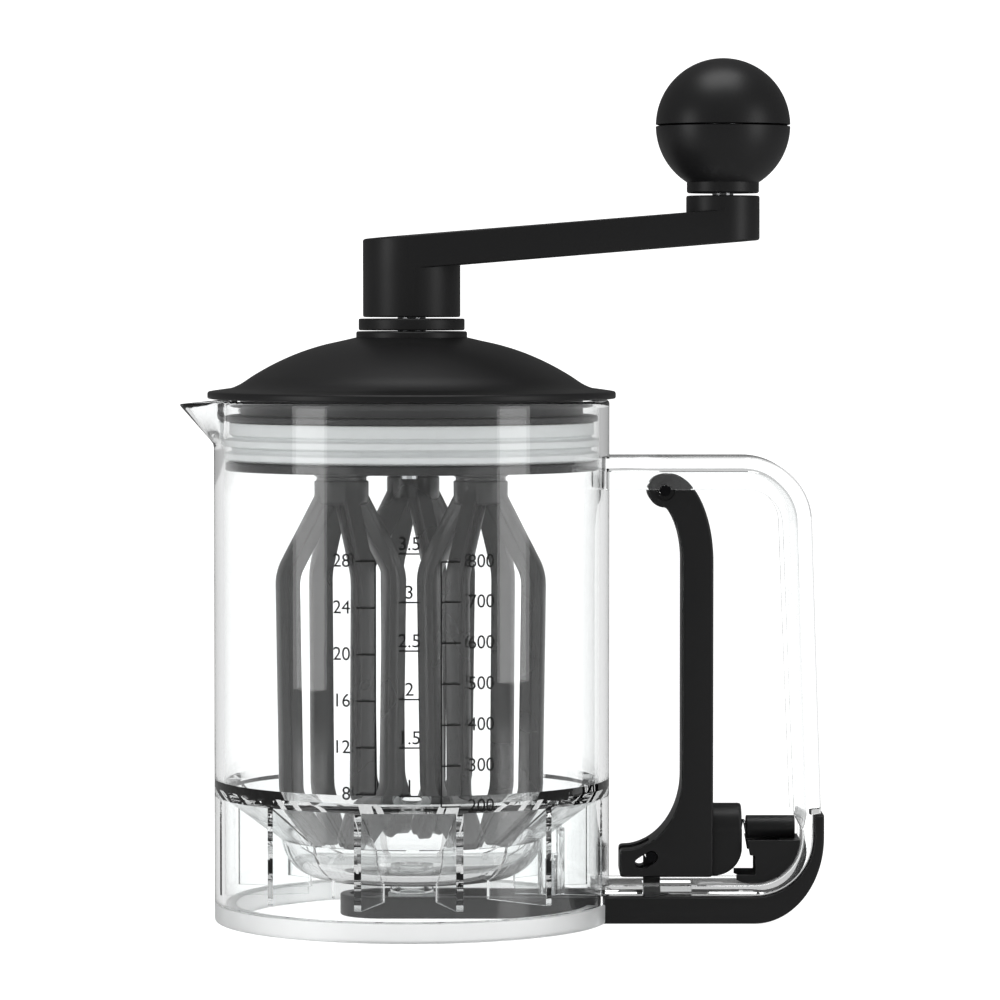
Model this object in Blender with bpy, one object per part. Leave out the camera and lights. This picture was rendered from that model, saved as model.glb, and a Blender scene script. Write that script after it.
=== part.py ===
"""Hand-crank whisk mixer and dispenser jug.

A clear jug stands on a foot ring. A clear channel-section handle holds a squeeze lever that draws
a valve slide from under the outlet in the jug's floor. The lid lifts off and carries a crank, a sun
gear, three pinions and three open-ended whisks.

Metres, +Z up, standing on z = 0. Sizes are given from the jug's own axis. The frame's origin is the
middle of the whole object's footprint, so everything hangs on one empty that is set back by half
the difference between the handle's and the lip's reach.
"""

import math

import bmesh
import bpy
from mathutils import Matrix

# ---------------------------------------------------------------- fits
GAP = 0.0003            # between pieces that touch or seat
RUN = 0.00015           # radial running clearance of a pin in its bore
MERGE = 1e-6

# ---------------------------------------------------------------- jug
JUG_R = 0.0560
JUG_WALL = 0.0028
RIM_Z = 0.1476
SKIRT_WALL = 0.0030
LIP_REACH = 0.0104      # how far the pouring lip stands out of the wall
LIP_DROP = 0.0012       # the lip's tip is this much lower than the rim
LIP_FOOT_Z = RIM_Z - 0.0126
LIP_HALF_ANGLE = math.radians(18.5)
CONE_TOP_Z = 0.0390
CONE_FOOT_Z = 0.0250
BOWL_R = JUG_R * 35.4 / 56
BOWL_CORNER_R = 0.0100
FLOOR_WALL = 0.0026
FLOOR_FALL = 0.0008     # the floor falls this much from the bowl's corner to the outlet
OUTLET_R = 0.0036
NOZZLE_WALL = 0.0026
NOZZLE_LENGTH = 0.0036
RIB_COUNT = 12
RIB_THICK = 0.0020
RIB_INNER_R = JUG_R * 30 / 56

# ---------------------------------------------------------------- foot ring and bracket
FOOT_H = 0.0055
FOOT_WALL = 0.0060
FOOT_EDGE_R = 0.0008
BRACKET_HALF_W = 0.0120
BRACKET_H = 0.0076
BRACKET_LIFT = 0.0016   # clearance under the bracket where the jug's foot ring carries the load
BRACKET_END_X = -0.0204
TROUGH_FLOOR = 0.0020
TROUGH_WALL = 0.0027
BRACKET_RIGHT_X = JUG_R + 0.0604
BRACKET_TOP_Z = 0.0306
BRACKET_SHELL = 0.0028
DRAIN_R = 0.0052
SCREW_X = JUG_R - 0.0160
SCREW_Y = 0.0074
SCREW_R = 0.0012
SCREW_HEAD_R = 0.0023
SCREW_HEAD_H = 0.0010
SCREW_LENGTH = 0.0165
BOSS_R = 0.0032

# ---------------------------------------------------------------- handle
HANDLE_HALF_W = 0.0120
HANDLE_SIDE = 0.0025
HANDLE_TOP_Z = RIM_Z - 0.0158
HANDLE_DEPTH_TOP = 0.0093
HANDLE_DEPTH_FOOT = 0.0077
HANDLE_WEB = 0.0040
HANDLE_CORNER_R = 0.0188
HANDLE_CORNER_X = JUG_R + 0.0380
HANDLE_FOOT_X = BRACKET_RIGHT_X - 0.0009  # outer face of the back bar where it meets the bracket
HANDLE_FOOT_WEB = 0.0027
HANDLE_FOOT_CORNER_R = 0.0165
FLANGE_STUB = 0.0004
SLIDE_Z = BRACKET_LIFT + TROUGH_FLOOR + GAP
FOOT_ARM_Z = BRACKET_H + GAP
FOOT_CORNER_X = BRACKET_RIGHT_X - BRACKET_SHELL - GAP - HANDLE_FOOT_CORNER_R
FOOT_CORNER_Z = FOOT_ARM_Z + HANDLE_FOOT_CORNER_R

# ---------------------------------------------------------------- lever
PIVOT_X = JUG_R + 0.0155
PIVOT_Z = HANDLE_TOP_Z - 0.0095
PIN_R = 0.0015
LEVER_HALF_W = HANDLE_HALF_W - HANDLE_SIDE - GAP
LEVER_BOSS_R = 0.0049
LEVER_INNER_X = PIVOT_X + 0.0048
LEVER_OUTER_X = PIVOT_X + 0.0137
LEVER_NECK_X = PIVOT_X + 0.0010
LEVER_BEND_Z = PIVOT_Z - 0.0203
LEVER_FOOT_Z = BRACKET_H + 0.0053
LEVER_TOE_X = JUG_R + 0.0028
LEVER_TOE_Z = LEVER_FOOT_Z + 0.0077
LEVER_FLARE_Z = LEVER_FOOT_Z + 0.0281
CUP_AXIS_Z = LEVER_FOOT_Z + 0.0133
CUP_R = 0.0069
CUP_BORE_R = 0.0058
CUP_END_X = LEVER_OUTER_X + 0.0083
CUP_FLOOR_X = LEVER_OUTER_X + 0.0012
HEEL_R = 0.0080
SQUEEZE = math.radians(4.5)

# ---------------------------------------------------------------- spring guide and spring
GUIDE_TUBE_R = 0.0034
GUIDE_BORE_R = 0.0027
GUIDE_TUBE_X = CUP_END_X + 0.0013
GUIDE_WEB_X = CUP_END_X + 0.0038
GUIDE_BLOCK_X = CUP_END_X + 0.0107
GUIDE_WEB_TOP_Z = CUP_AXIS_Z - GUIDE_TUBE_R + 0.0006
GUIDE_CLEAR_Y = CUP_R + 0.0008
SPRING_R = 0.0020
SPRING_WIRE_R = 0.00035
SPRING_TURNS = 9

# ---------------------------------------------------------------- valve
SLIDE_PIN_X = LEVER_TOE_X + 0.0090
SLIDE_PIN_Z = LEVER_FOOT_Z + 0.0057
SLIDE_PIN_R = 0.0015
SLOT_R = SLIDE_PIN_R + GAP
SLOT_RUN_X = 0.0030     # the lever's slanted slot runs this far towards the jug
SLOT_RUN_Z = 0.0020
SLIDE_THICK = 0.0022
SLIDE_HEAD_R = 0.0068
SLIDE_HALF_W = 0.0044
SLIDE_HOLE_R = 0.0038
UPSTAND_X0 = SLIDE_PIN_X - 0.0021
UPSTAND_X1 = SLIDE_PIN_X + 0.0029
UPSTAND_HALF_W = 0.0028
UPSTAND_TOP = 0.0022    # above the cross pin's centre
TRAVEL = (PIVOT_Z - SLIDE_PIN_Z) * SQUEEZE

# ---------------------------------------------------------------- lid
BRIM_R = JUG_R + 0.0018
BRIM_Z = RIM_Z + 0.0004
DOME_WALL = 0.0024
DOME_RADII = tuple(JUG_R * share for share in (0.3411, 0.4571, 0.5857, 0.6929, 0.8732, 0.9054))
DOME_LEVELS = tuple(BRIM_Z + rise for rise in (0.0173, 0.0165, 0.0150, 0.0126, 0.0099, 0.0039, 0.0031))
BRIM_LINE = ((-0.0011, 0.0022), (0.0, 0.0016), (0.0, 0.0004))   # from the brim's radius and foot
NECK_R = 0.0157
NECK_TOP_Z = BRIM_Z + 0.0190
BEARING_WALL = 0.00335
BEARING_FOOT_Z = BRIM_Z + 0.0020
LID_SKIRT_R = JUG_R - 0.0075
LID_SKIRT_WALL = 0.0022
FLANGE_TOP_Z = RIM_Z - 0.0042
FLANGE_THICK = 0.0016
FIT_IN_JUG = 0.0005     # radial clearance of the lid's hard flanges in the jug
SEAL_FIT = 0.0002       # radial clearance of the seal's lips as drawn, unpressed
HOUSING_R = JUG_R - 0.0070
HOUSING_WALL = 0.0022
COVER_TOP_Z = RIM_Z - 0.0173
COVER_THICK = 0.0023
SEAL_BODY_R = JUG_R - 0.0046
SEAL_LIPS_Z = (RIM_Z - 0.0116, RIM_Z - 0.0156)
SEAL_LIP_HALF = 0.0010
COVER_SCREW_ORBIT = HOUSING_R - 0.0110
COVER_SCREW_LENGTH = 0.0085

# ---------------------------------------------------------------- gears and shafts
SUN_TEETH = 20
PINION_TEETH = 10
ORBIT_R = JUG_R * 22.5 / 56
MODULE = 2 * ORBIT_R / (SUN_TEETH + PINION_TEETH)
PRESSURE = math.radians(25.0)
ADDENDUM = 0.8          # in modules
DEDENDUM = 1.15
BACKLASH = 0.00025      # taken off each tooth's thickness
GEAR_Z = COVER_TOP_Z + 0.0022
GEAR_H = 0.0060
DRIVE_R = 0.0040
WHISK_SHAFT_R = 0.0028
WHISK_ANGLES = {"left": 210.0, "right": 330.0, "rear": 90.0}

# ---------------------------------------------------------------- whisks
HUB_R = 0.0076
HUB_TOP_Z = COVER_TOP_Z - COVER_THICK - 0.0005
HUB_FOOT_Z = HUB_TOP_Z - 0.0090
HUB_FLOOR = 0.0020
HUB_GROOVE = 0.0006
BARS = 4
BAR_FACE_R = JUG_R * 19.2 / 56      # from the whisk's axis to the bar's outer face at the shoulder
BAR_LEAN = 0.0010       # the bar's foot end stands this much nearer the axis
BAR_SHOULDER_Z = HUB_TOP_Z - 0.0275
BAR_KNEE_Z = CONE_FOOT_Z + 0.0110
BAR_TOE_R = JUG_R * 8 / 56
BAR_TOE_Z = CONE_FOOT_Z - 0.0028
BAR_FACE_W = 0.0042
BAR_BACK_W = 0.0064
BAR_STEP = 0.0023
BAR_DEPTH = 0.0057
BAR_TURN = {"left": 25.0, "right": -25.0, "rear": 25.0}

# ---------------------------------------------------------------- crank and knob
COLLAR_R = 0.0150
COLLAR_Z = NECK_TOP_Z + GAP
COLLAR_H = 0.0033
CRANK_HUB_R = 0.0138
CRANK_HUB_Z = COLLAR_Z + COLLAR_H + 0.0004
ARM_TOP_Z = CRANK_HUB_Z + 0.0232     # at the hub's axis
ARM_FOOT_Z = CRANK_HUB_Z + 0.0136
SHAFT_TOP_Z = ARM_FOOT_Z + 0.0040
ARM_TOP_RISE = 0.0812   # per metre of reach
ARM_FOOT_RISE = 0.0827
KNOB_X = 0.0880
KNOB_BOSS_R = 0.0104
KNOB_BOSS_TOP_Z = ARM_TOP_Z + 0.0111
KNOB_R = 0.0190
KNOB_COLLAR_R = 0.0102
KNOB_COLLAR_Z = KNOB_BOSS_TOP_Z + 0.0007
KNOB_Z = KNOB_BOSS_TOP_Z + KNOB_R + 0.0008
KNOB_SHELL = 0.0030
KNOB_PIN_R = 0.0030
KNOB_PIN_HEAD_R = 0.0055
KNOB_PIN_HEAD_H = 0.0022
KNOB_PIN_SEAT = 0.0110  # depth of the pin in the arm's boss

ROUND = 40              # facets of a large round piece, the same on all that nest in the jug
SMALL_ROUND = 20
SCREW_ROUND = 10
KNOB_ROUND = 28

LIP_TIP_X = -(JUG_R + LIP_REACH)
FRAME_X = -(BRACKET_RIGHT_X + LIP_TIP_X) / 2

BLACK = ("black_satin_plastic", (0.020, 0.020, 0.021), 0.45, 0.0)
NYLON = ("black_nylon", (0.014, 0.014, 0.014), 0.35, 0.0)
CLEAR = ("clear_plastic", (0.88, 0.89, 0.89), 0.05, 0.0)
SILICONE = ("grey_silicone", (0.66, 0.67, 0.67), 0.50, 0.0)
FROSTED = ("frosted_plastic", (0.72, 0.73, 0.73), 0.35, 0.0)
STEEL = ("steel", (0.55, 0.55, 0.56), 0.30, 1.0)
ACETAL = ("white_acetal", (0.78, 0.77, 0.74), 0.40, 0.0)


# ---------------------------------------------------------------- helpers
def clear_scene():
    """Remove what the file holds already."""
    for obj in list(bpy.data.objects):
        bpy.data.objects.remove(obj, do_unlink=True)


def material(finish):
    """Return the named Principled material, made once."""
    name, colour, roughness, metallic = finish
    found = bpy.data.materials.get(name)
    if found:
        return found
    made = bpy.data.materials.new(name)
    made.use_nodes = True
    shader = made.node_tree.nodes["Principled BSDF"]
    shader.inputs["Base Color"].default_value = (*colour, 1.0)
    shader.inputs["Roughness"].default_value = roughness
    shader.inputs["Metallic"].default_value = metallic
    return made


def make_object(name, bm, finish, origin=(0.0, 0.0, 0.0)):
    """Turn a bmesh drawn in the jug's coordinates into an object whose origin is at origin."""
    bmesh.ops.remove_doubles(bm, verts=bm.verts, dist=MERGE)
    bmesh.ops.recalc_face_normals(bm, faces=bm.faces)
    bmesh.ops.translate(bm, verts=bm.verts, vec=[-c for c in origin])
    mesh = bpy.data.meshes.new(name)
    bm.to_mesh(mesh)
    bm.free()
    mesh.shade_smooth()
    mesh.set_sharp_from_angle(angle=math.radians(35.0))
    mesh.materials.append(material(finish))
    obj = bpy.data.objects.new(name, mesh)
    obj.location = origin
    obj.parent = ROOT
    bpy.context.scene.collection.objects.link(obj)
    return obj


def arc(cx, cz, radius, start, end, steps):
    """Return steps + 1 points on an arc, angles in degrees, both ends included."""
    angles = [math.radians(start + (end - start) * i / steps) for i in range(steps + 1)]
    return [(cx + radius * math.cos(a), cz + radius * math.sin(a)) for a in angles]


def turned(profile, steps=ROUND, centre=(0.0, 0.0), along="Z"):
    """Spin a closed outline of (radius, height) round the axis along X, Y or Z.

    centre is where the axis crosses the plane at right angles to it, in the order X, Y, Z.
    """
    bm = bmesh.new()
    corners = [bm.verts.new((r, 0.0, h)) for r, h in profile]
    edges = [bm.edges.new((a, b)) for a, b in zip(corners, corners[1:] + corners[:1])]
    bmesh.ops.spin(bm, geom=corners + edges, cent=(0, 0, 0), axis=(0, 0, 1), dvec=(0, 0, 0),
                   angle=math.tau, steps=steps, use_duplicate=False)
    bmesh.ops.remove_doubles(bm, verts=bm.verts, dist=MERGE)
    on_axis = [e for e in bm.edges if not e.link_faces]
    bmesh.ops.delete(bm, geom=on_axis, context="EDGES")
    a, b = centre
    for v in bm.verts:
        x, y, z = v.co
        v.co = {"Z": (x + a, y + b, z), "Y": (x + a, z, y + b), "X": (z, x + a, y + b)}[along]
    return bm


def rod(radius, low, high, steps=SMALL_ROUND, centre=(0.0, 0.0), along="Z"):
    """A plain round bar."""
    return turned([(0, high), (radius, high), (radius, low), (0, low)], steps, centre, along)


def extruded(outline, low, high, along="Z"):
    """Push a closed outline from low to high along Z (outline in x, y) or Y (outline in x, z)."""
    bm = bmesh.new()
    if along == "Z":
        corners = [bm.verts.new((a, b, low)) for a, b in outline]
        step = (0, 0, high - low)
    else:
        corners = [bm.verts.new((a, low, b)) for a, b in outline]
        step = (0, high - low, 0)
    face = bm.faces.new(corners)
    pushed = bmesh.ops.extrude_face_region(bm, geom=[face], use_keep_orig=True)
    moved = [g for g in pushed["geom"] if isinstance(g, bmesh.types.BMVert)]
    bmesh.ops.translate(bm, verts=moved, vec=step)
    return bm


def box(x0, x1, y0, y1, z0, z1):
    """A block between two corners."""
    return extruded([(x0, y0), (x1, y0), (x1, y1), (x0, y1)], z0, z1)


def joined(*parts):
    """Put several bmeshes that don't touch into one."""
    whole = bmesh.new()
    for part in parts:
        mesh = bpy.data.meshes.new("piece")
        part.to_mesh(mesh)
        part.free()
        whole.from_mesh(mesh)
        bpy.data.meshes.remove(mesh)
    return whole


def combine(obj, bm, operation):
    """Add a Boolean with a hidden guide made from bm."""
    guide = make_object(f"{obj.name}_guide_{len(obj.modifiers)}", bm, BLACK)
    guide.hide_render = True
    guide.display_type = "WIRE"
    boolean = obj.modifiers.new(operation.lower(), "BOOLEAN")
    boolean.operation = operation
    boolean.object = guide


def cut(obj, bm):
    combine(obj, bm, "DIFFERENCE")


def add(obj, bm):
    combine(obj, bm, "UNION")


def rounded_bar(x0, x1, half_w, nose_r, steps=12):
    """Plan outline of a bar with a round nose at its low x end."""
    nose = arc(x0 + nose_r, 0.0, nose_r, 90.0, 270.0, steps)
    if half_w < nose_r:
        neck = x0 + nose_r + math.sqrt(nose_r ** 2 - half_w ** 2)
        swing = math.degrees(math.asin(half_w / nose_r))
        nose = arc(x0 + nose_r, 0.0, nose_r, swing, 360.0 - swing, steps)
        nose[0] = (neck, half_w)
        nose[-1] = (neck, -half_w)
    return nose + [(x1, -half_w), (x1, half_w)]


# ---------------------------------------------------------------- jug
def bowl_line(depth):
    """Outline of the funnel and bowl, depth below their wetted surface, from wall to floor."""
    slope = math.atan2(CONE_TOP_Z - CONE_FOOT_Z, (JUG_R - JUG_WALL) - BOWL_R)
    normal = slope - math.pi / 2
    reach = (BOWL_CORNER_R * math.cos(normal) + depth) / (BOWL_CORNER_R + depth)
    start = math.degrees(normal + math.acos(min(1.0, reach)))
    centre = (BOWL_R - BOWL_CORNER_R, CONE_FOOT_Z)
    corner = arc(*centre, BOWL_CORNER_R + depth, start, -90.0, 4)
    return slope, corner


def cone_height(radius, depth):
    """Height of the funnel's surface, depth below the wetted one, at a radius."""
    slope, corner = bowl_line(depth)
    r, z = corner[0]
    return z + (radius - r) * math.tan(slope)


def jug_profile():
    """Half section of the jug, round its outside, foot, underside, outlet and inside."""
    inner_r = JUG_R - JUG_WALL
    skirt_r = JUG_R - SKIRT_WALL
    foot_z = FOOT_H + GAP
    floor_z = CONE_FOOT_Z - BOWL_CORNER_R
    nozzle_r = OUTLET_R + NOZZLE_WALL
    under = floor_z - FLOOR_FALL - FLOOR_WALL
    rows = [RIM_Z, (RIM_Z + LIP_FOOT_Z) / 2, LIP_FOOT_Z]
    outside = [(JUG_R, z) for z in rows] + [(JUG_R, foot_z)]
    underside = [(skirt_r, foot_z), (skirt_r, cone_height(skirt_r, FLOOR_WALL))]
    underside += bowl_line(FLOOR_WALL)[1]
    nozzle = [(nozzle_r, under), (nozzle_r, under - NOZZLE_LENGTH), (OUTLET_R, under - NOZZLE_LENGTH)]
    inside = [(OUTLET_R, floor_z - FLOOR_FALL)] + bowl_line(0.0)[1][::-1]
    inside += [(inner_r, CONE_TOP_Z)] + [(inner_r, z) for z in rows[::-1]]
    return outside + underside + nozzle + inside


def pull_lip(bm):
    """Draw the wall out into a V-shaped pouring lip on the side away from the handle."""
    for v in bm.verts:
        x, y, z = v.co
        radius = math.hypot(x, y)
        rise = (z - LIP_FOOT_Z) / (RIM_Z - LIP_FOOT_Z)
        side = 1.0 - abs(math.atan2(y, -x)) / LIP_HALF_ANGLE
        if rise > 0.0 and side > 0.0 and radius > JUG_R / 2:
            out = LIP_REACH * rise * side ** 1.3
            v.co.x *= (radius + out) / radius
            v.co.y *= (radius + out) / radius
            v.co.z -= LIP_DROP * rise * side


def rib_fins():
    """Radial ribs between the skirt and the underside of the funnel and bowl."""
    mid = FLOOR_WALL / 2
    outer = JUG_R - SKIRT_WALL / 2
    crest = [p for p in bowl_line(mid)[1] if p[0] > RIB_INNER_R]
    foot = BRACKET_H + 3 * GAP
    outline = [(outer, foot), (outer, cone_height(outer, mid))] + crest
    outline.append((crest[-1][0], foot))
    fins = []
    for i in range(RIB_COUNT):
        fin = extruded(outline, -RIB_THICK / 2, RIB_THICK / 2, along="Y")
        turn = math.tau * (i + 0.5) / RIB_COUNT
        bmesh.ops.rotate(fin, verts=fin.verts, cent=(0, 0, 0),
                         matrix=Matrix.Rotation(turn, 3, "Z"))
        fins.append(fin)
    return joined(*fins)


def jug_body():
    """Clear jug: wall with lip, funnel, bowl, outlet nozzle, skirt, ribs and screw bosses."""
    bm = turned(jug_profile())
    pull_lip(bm)
    jug = make_object("jug_body", bm, CLEAR)
    add(jug, rib_fins())
    boss_top = cone_height(SCREW_X, FLOOR_WALL / 2)
    foot = BRACKET_H + 2 * GAP
    add(jug, joined(*[rod(BOSS_R, foot, boss_top, SCREW_ROUND, (SCREW_X, y)) for y in (-SCREW_Y, SCREW_Y)]))
    bores = [rod(SCREW_R + GAP, 0.0, BRACKET_LIFT + SCREW_LENGTH + GAP, SCREW_ROUND, (SCREW_X, y))
             for y in (-SCREW_Y, SCREW_Y)]
    cut(jug, joined(*bores))
    half = BRACKET_HALF_W + GAP
    cut(jug, box(JUG_R * 0.7, JUG_R * 1.1, -half, half, 0.0, BRACKET_H + GAP))


def foot_ring():
    """Translucent ring that the skirt stands in, open where the bracket passes."""
    e = FOOT_EDGE_R
    inner = JUG_R - FOOT_WALL
    profile = [(inner, FOOT_H), (JUG_R, FOOT_H), (JUG_R, e), (JUG_R - e, 0), (inner, 0)]
    ring = make_object("foot_ring", turned(profile), FROSTED)
    half = BRACKET_HALF_W + GAP
    cut(ring, box(JUG_R * 0.7, JUG_R * 1.1, -half, half, -FOOT_H, 2 * FOOT_H))


# ---------------------------------------------------------------- bracket and valve
def base_bracket():
    """Black trough under the jug, with the bar and shell that wrap the handle's lower corner."""
    step_x = JUG_R - FOOT_WALL - GAP - 0.0005
    cx, cz = FOOT_CORNER_X, FOOT_CORNER_Z
    outer_r = BRACKET_RIGHT_X - cx
    inner_r = HANDLE_FOOT_CORNER_R + GAP
    outer = [(cx + outer_r * math.cos(a), cz - cz * math.sin(a))
             for a in [math.pi / 2 * i / 10 for i in range(10, -1, -1)]]
    inner = arc(cx, cz, inner_r, 0.0, -90.0, 8)
    side = [(step_x, 0.0)] + outer + [(BRACKET_RIGHT_X, BRACKET_TOP_Z)]
    side += [(cx + inner_r, BRACKET_TOP_Z)] + inner + [(step_x, BRACKET_H)]
    bar = extruded(side, -BRACKET_HALF_W, BRACKET_HALF_W, along="Y")
    bracket = make_object("base_bracket", bar, BLACK)
    nose = rounded_bar(BRACKET_END_X, step_x + 0.002, BRACKET_HALF_W, BRACKET_HALF_W)
    add(bracket, extruded(nose, BRACKET_LIFT, BRACKET_H))
    half = BRACKET_HALF_W - TROUGH_WALL
    trough = rounded_bar(BRACKET_END_X + TROUGH_WALL, UPSTAND_X1 + TRAVEL + 0.0015, half, half)
    cut(bracket, extruded(trough, BRACKET_LIFT + TROUGH_FLOOR, BRACKET_H + 0.002))
    cut(bracket, rod(DRAIN_R, 0.0, BRACKET_H))
    holes = [rod(SCREW_R + GAP, 0.0, BRACKET_H, SCREW_ROUND, (SCREW_X, y)) for y in (-SCREW_Y, SCREW_Y)]
    cut(bracket, joined(*holes))


def bracket_screws():
    """Pan-head screws up through the trough's floor into the jug's bosses."""
    for name, y in (("front", -SCREW_Y), ("rear", SCREW_Y)):
        seat = BRACKET_LIFT - GAP
        profile = [(0, seat + SCREW_LENGTH), (SCREW_R, seat + SCREW_LENGTH), (SCREW_R, seat),
                   (SCREW_HEAD_R, seat), (SCREW_HEAD_R, seat - SCREW_HEAD_H), (0, seat - SCREW_HEAD_H)]
        screw = turned(profile, SCREW_ROUND, (SCREW_X, y))
        make_object(f"bracket_screw_{name}", screw, STEEL, (SCREW_X, y, seat))


def valve_slide():
    """Flat slide with its outlet hole one travel short of the nozzle, and an upstand for the pin."""
    head_x = -TRAVEL - SLIDE_HEAD_R
    plan = rounded_bar(head_x, UPSTAND_X1, SLIDE_HALF_W, SLIDE_HEAD_R)
    slide = make_object("valve_slide", extruded(plan, SLIDE_Z, SLIDE_Z + SLIDE_THICK), BLACK)
    upstand = box(UPSTAND_X0, UPSTAND_X1 - GAP, -UPSTAND_HALF_W, UPSTAND_HALF_W,
                  SLIDE_Z + SLIDE_THICK / 2, SLIDE_PIN_Z + UPSTAND_TOP)
    add(slide, upstand)
    cut(slide, rod(SLIDE_HOLE_R, 0.0, FOOT_ARM_Z, centre=(-TRAVEL, 0.0)))
    bore = rod(SLIDE_PIN_R + GAP, -LEVER_HALF_W, LEVER_HALF_W, 16,
               (SLIDE_PIN_X, SLIDE_PIN_Z), along="Y")
    cut(slide, bore)
    pin = rod(SLIDE_PIN_R, -LEVER_HALF_W + GAP, LEVER_HALF_W - GAP, 16,
              (SLIDE_PIN_X, SLIDE_PIN_Z), along="Y")
    make_object("slide_pin", pin, STEEL, (SLIDE_PIN_X, 0.0, SLIDE_PIN_Z))


def valve_seal():
    """Soft washer between the nozzle and the slide."""
    low = SLIDE_Z + SLIDE_THICK + GAP
    high = CONE_FOOT_Z - BOWL_CORNER_R - FLOOR_FALL - FLOOR_WALL - NOZZLE_LENGTH - GAP
    outer = OUTLET_R + NOZZLE_WALL + 0.0006
    inner = OUTLET_R + 0.0002
    profile = [(inner, high), (outer, high), (outer, low), (inner, low)]
    make_object("valve_seal", turned(profile, SMALL_ROUND), SILICONE)


# ---------------------------------------------------------------- handle
def handle_stations():
    """Outer face points of the handle with inward direction, web and depth at each."""
    start_x = JUG_R * 0.85
    cx, cz = HANDLE_CORNER_X, HANDLE_TOP_Z - HANDLE_CORNER_R
    stations = [(start_x, HANDLE_TOP_Z, 90.0, HANDLE_WEB, HANDLE_DEPTH_TOP)]
    for i in range(9):
        angle = 90.0 - 90.0 * i / 8
        x = cx + HANDLE_CORNER_R * math.cos(math.radians(angle))
        z = cz + HANDLE_CORNER_R * math.sin(math.radians(angle))
        depth = HANDLE_DEPTH_TOP - 0.001 * i / 8
        stations.append((x, z, angle, HANDLE_WEB, depth))
    seam_z = BRACKET_TOP_Z + GAP
    stations.append((HANDLE_FOOT_X, seam_z + 0.0004, 0.0, HANDLE_WEB, HANDLE_DEPTH_FOOT))
    inner_x = FOOT_CORNER_X + HANDLE_FOOT_CORNER_R
    stub = HANDLE_FOOT_WEB + FLANGE_STUB
    lean = HANDLE_FOOT_X - inner_x
    stations.append((inner_x, seam_z, 0.0, HANDLE_WEB - lean, HANDLE_DEPTH_FOOT - lean))
    stations.append((inner_x, FOOT_CORNER_Z + 0.0020, 0.0, HANDLE_FOOT_WEB, stub))
    for i in range(9):
        angle = -90.0 * i / 8
        x = FOOT_CORNER_X + HANDLE_FOOT_CORNER_R * math.cos(math.radians(angle))
        z = FOOT_CORNER_Z + HANDLE_FOOT_CORNER_R * math.sin(math.radians(angle))
        stations.append((x, z, angle, HANDLE_FOOT_WEB, stub))
    stations.append((start_x, FOOT_ARM_Z, -90.0, HANDLE_FOOT_WEB, stub))
    return stations


def handle_loop():
    """Clear channel that opens towards the hand, swept from the wall to the foot."""
    w, s = HANDLE_HALF_W, HANDLE_HALF_W - HANDLE_SIDE
    bm = bmesh.new()
    rings = []
    for x, z, angle, web, depth in handle_stations():
        out_x, out_z = math.cos(math.radians(angle)), math.sin(math.radians(angle))
        section = [(0, -w), (0, w), (depth, w), (depth, s), (web, s), (web, -s), (depth, -s), (depth, -w)]
        rings.append([bm.verts.new((x - d * out_x, y, z - d * out_z)) for d, y in section])
    for a, b in zip(rings, rings[1:]):
        for i in range(len(a)):
            j = (i + 1) % len(a)
            bm.faces.new((a[i], a[j], b[j], b[i]))
    bm.faces.new(rings[0])
    bm.faces.new(rings[-1])
    handle = make_object("handle_loop", bm, CLEAR)
    cut(handle, rod(JUG_R + GAP, -0.01, RIM_Z, ROUND))
    half = UPSTAND_HALF_W + GAP
    slot = box(UPSTAND_X0 - GAP, UPSTAND_X1 + TRAVEL + GAP, -half, half, 0.0, LEVER_FOOT_Z)
    cut(handle, slot)
    bore = rod(PIN_R + RUN, -2 * w, 2 * w, 16, (PIVOT_X, PIVOT_Z), along="Y")
    cut(handle, bore)
    pin = rod(PIN_R, -w, w, 16, (PIVOT_X, PIVOT_Z), along="Y")
    make_object("lever_pin", pin, STEEL, (PIVOT_X, 0.0, PIVOT_Z))


# ---------------------------------------------------------------- lever
def lever_outline():
    """Side outline of the lever: boss, curved neck, grip and flared toe."""
    boss = arc(PIVOT_X, PIVOT_Z, LEVER_BOSS_R, 235.0, 80.0, 8)
    back = [(LEVER_NECK_X + (LEVER_OUTER_X - LEVER_NECK_X) * math.sin(a),
             LEVER_BEND_Z + (PIVOT_Z + LEVER_BOSS_R - LEVER_BEND_Z) * math.cos(a))
            for a in [math.pi / 2 * i / 8 for i in range(1, 9)]]
    foot = [(LEVER_OUTER_X, LEVER_FOOT_Z), (LEVER_TOE_X, LEVER_FOOT_Z), (LEVER_TOE_X, LEVER_TOE_Z)]
    toe_x = LEVER_TOE_X + 0.001
    flare = [(toe_x + (LEVER_INNER_X - toe_x) * math.sin(a),
              LEVER_FLARE_Z - (LEVER_FLARE_Z - LEVER_TOE_Z) * math.cos(a))
             for a in [math.pi / 2 * i / 8 for i in range(9)]]
    front_x = PIVOT_X - LEVER_BOSS_R * 0.8
    front = [(front_x + (LEVER_INNER_X - front_x) * math.cos(a),
              LEVER_BEND_Z + (PIVOT_Z - LEVER_BOSS_R * 0.6 - LEVER_BEND_Z) * math.sin(a))
             for a in [math.pi / 2 * i / 7 for i in range(7)]]
    return boss + back + foot + flare + front


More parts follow.
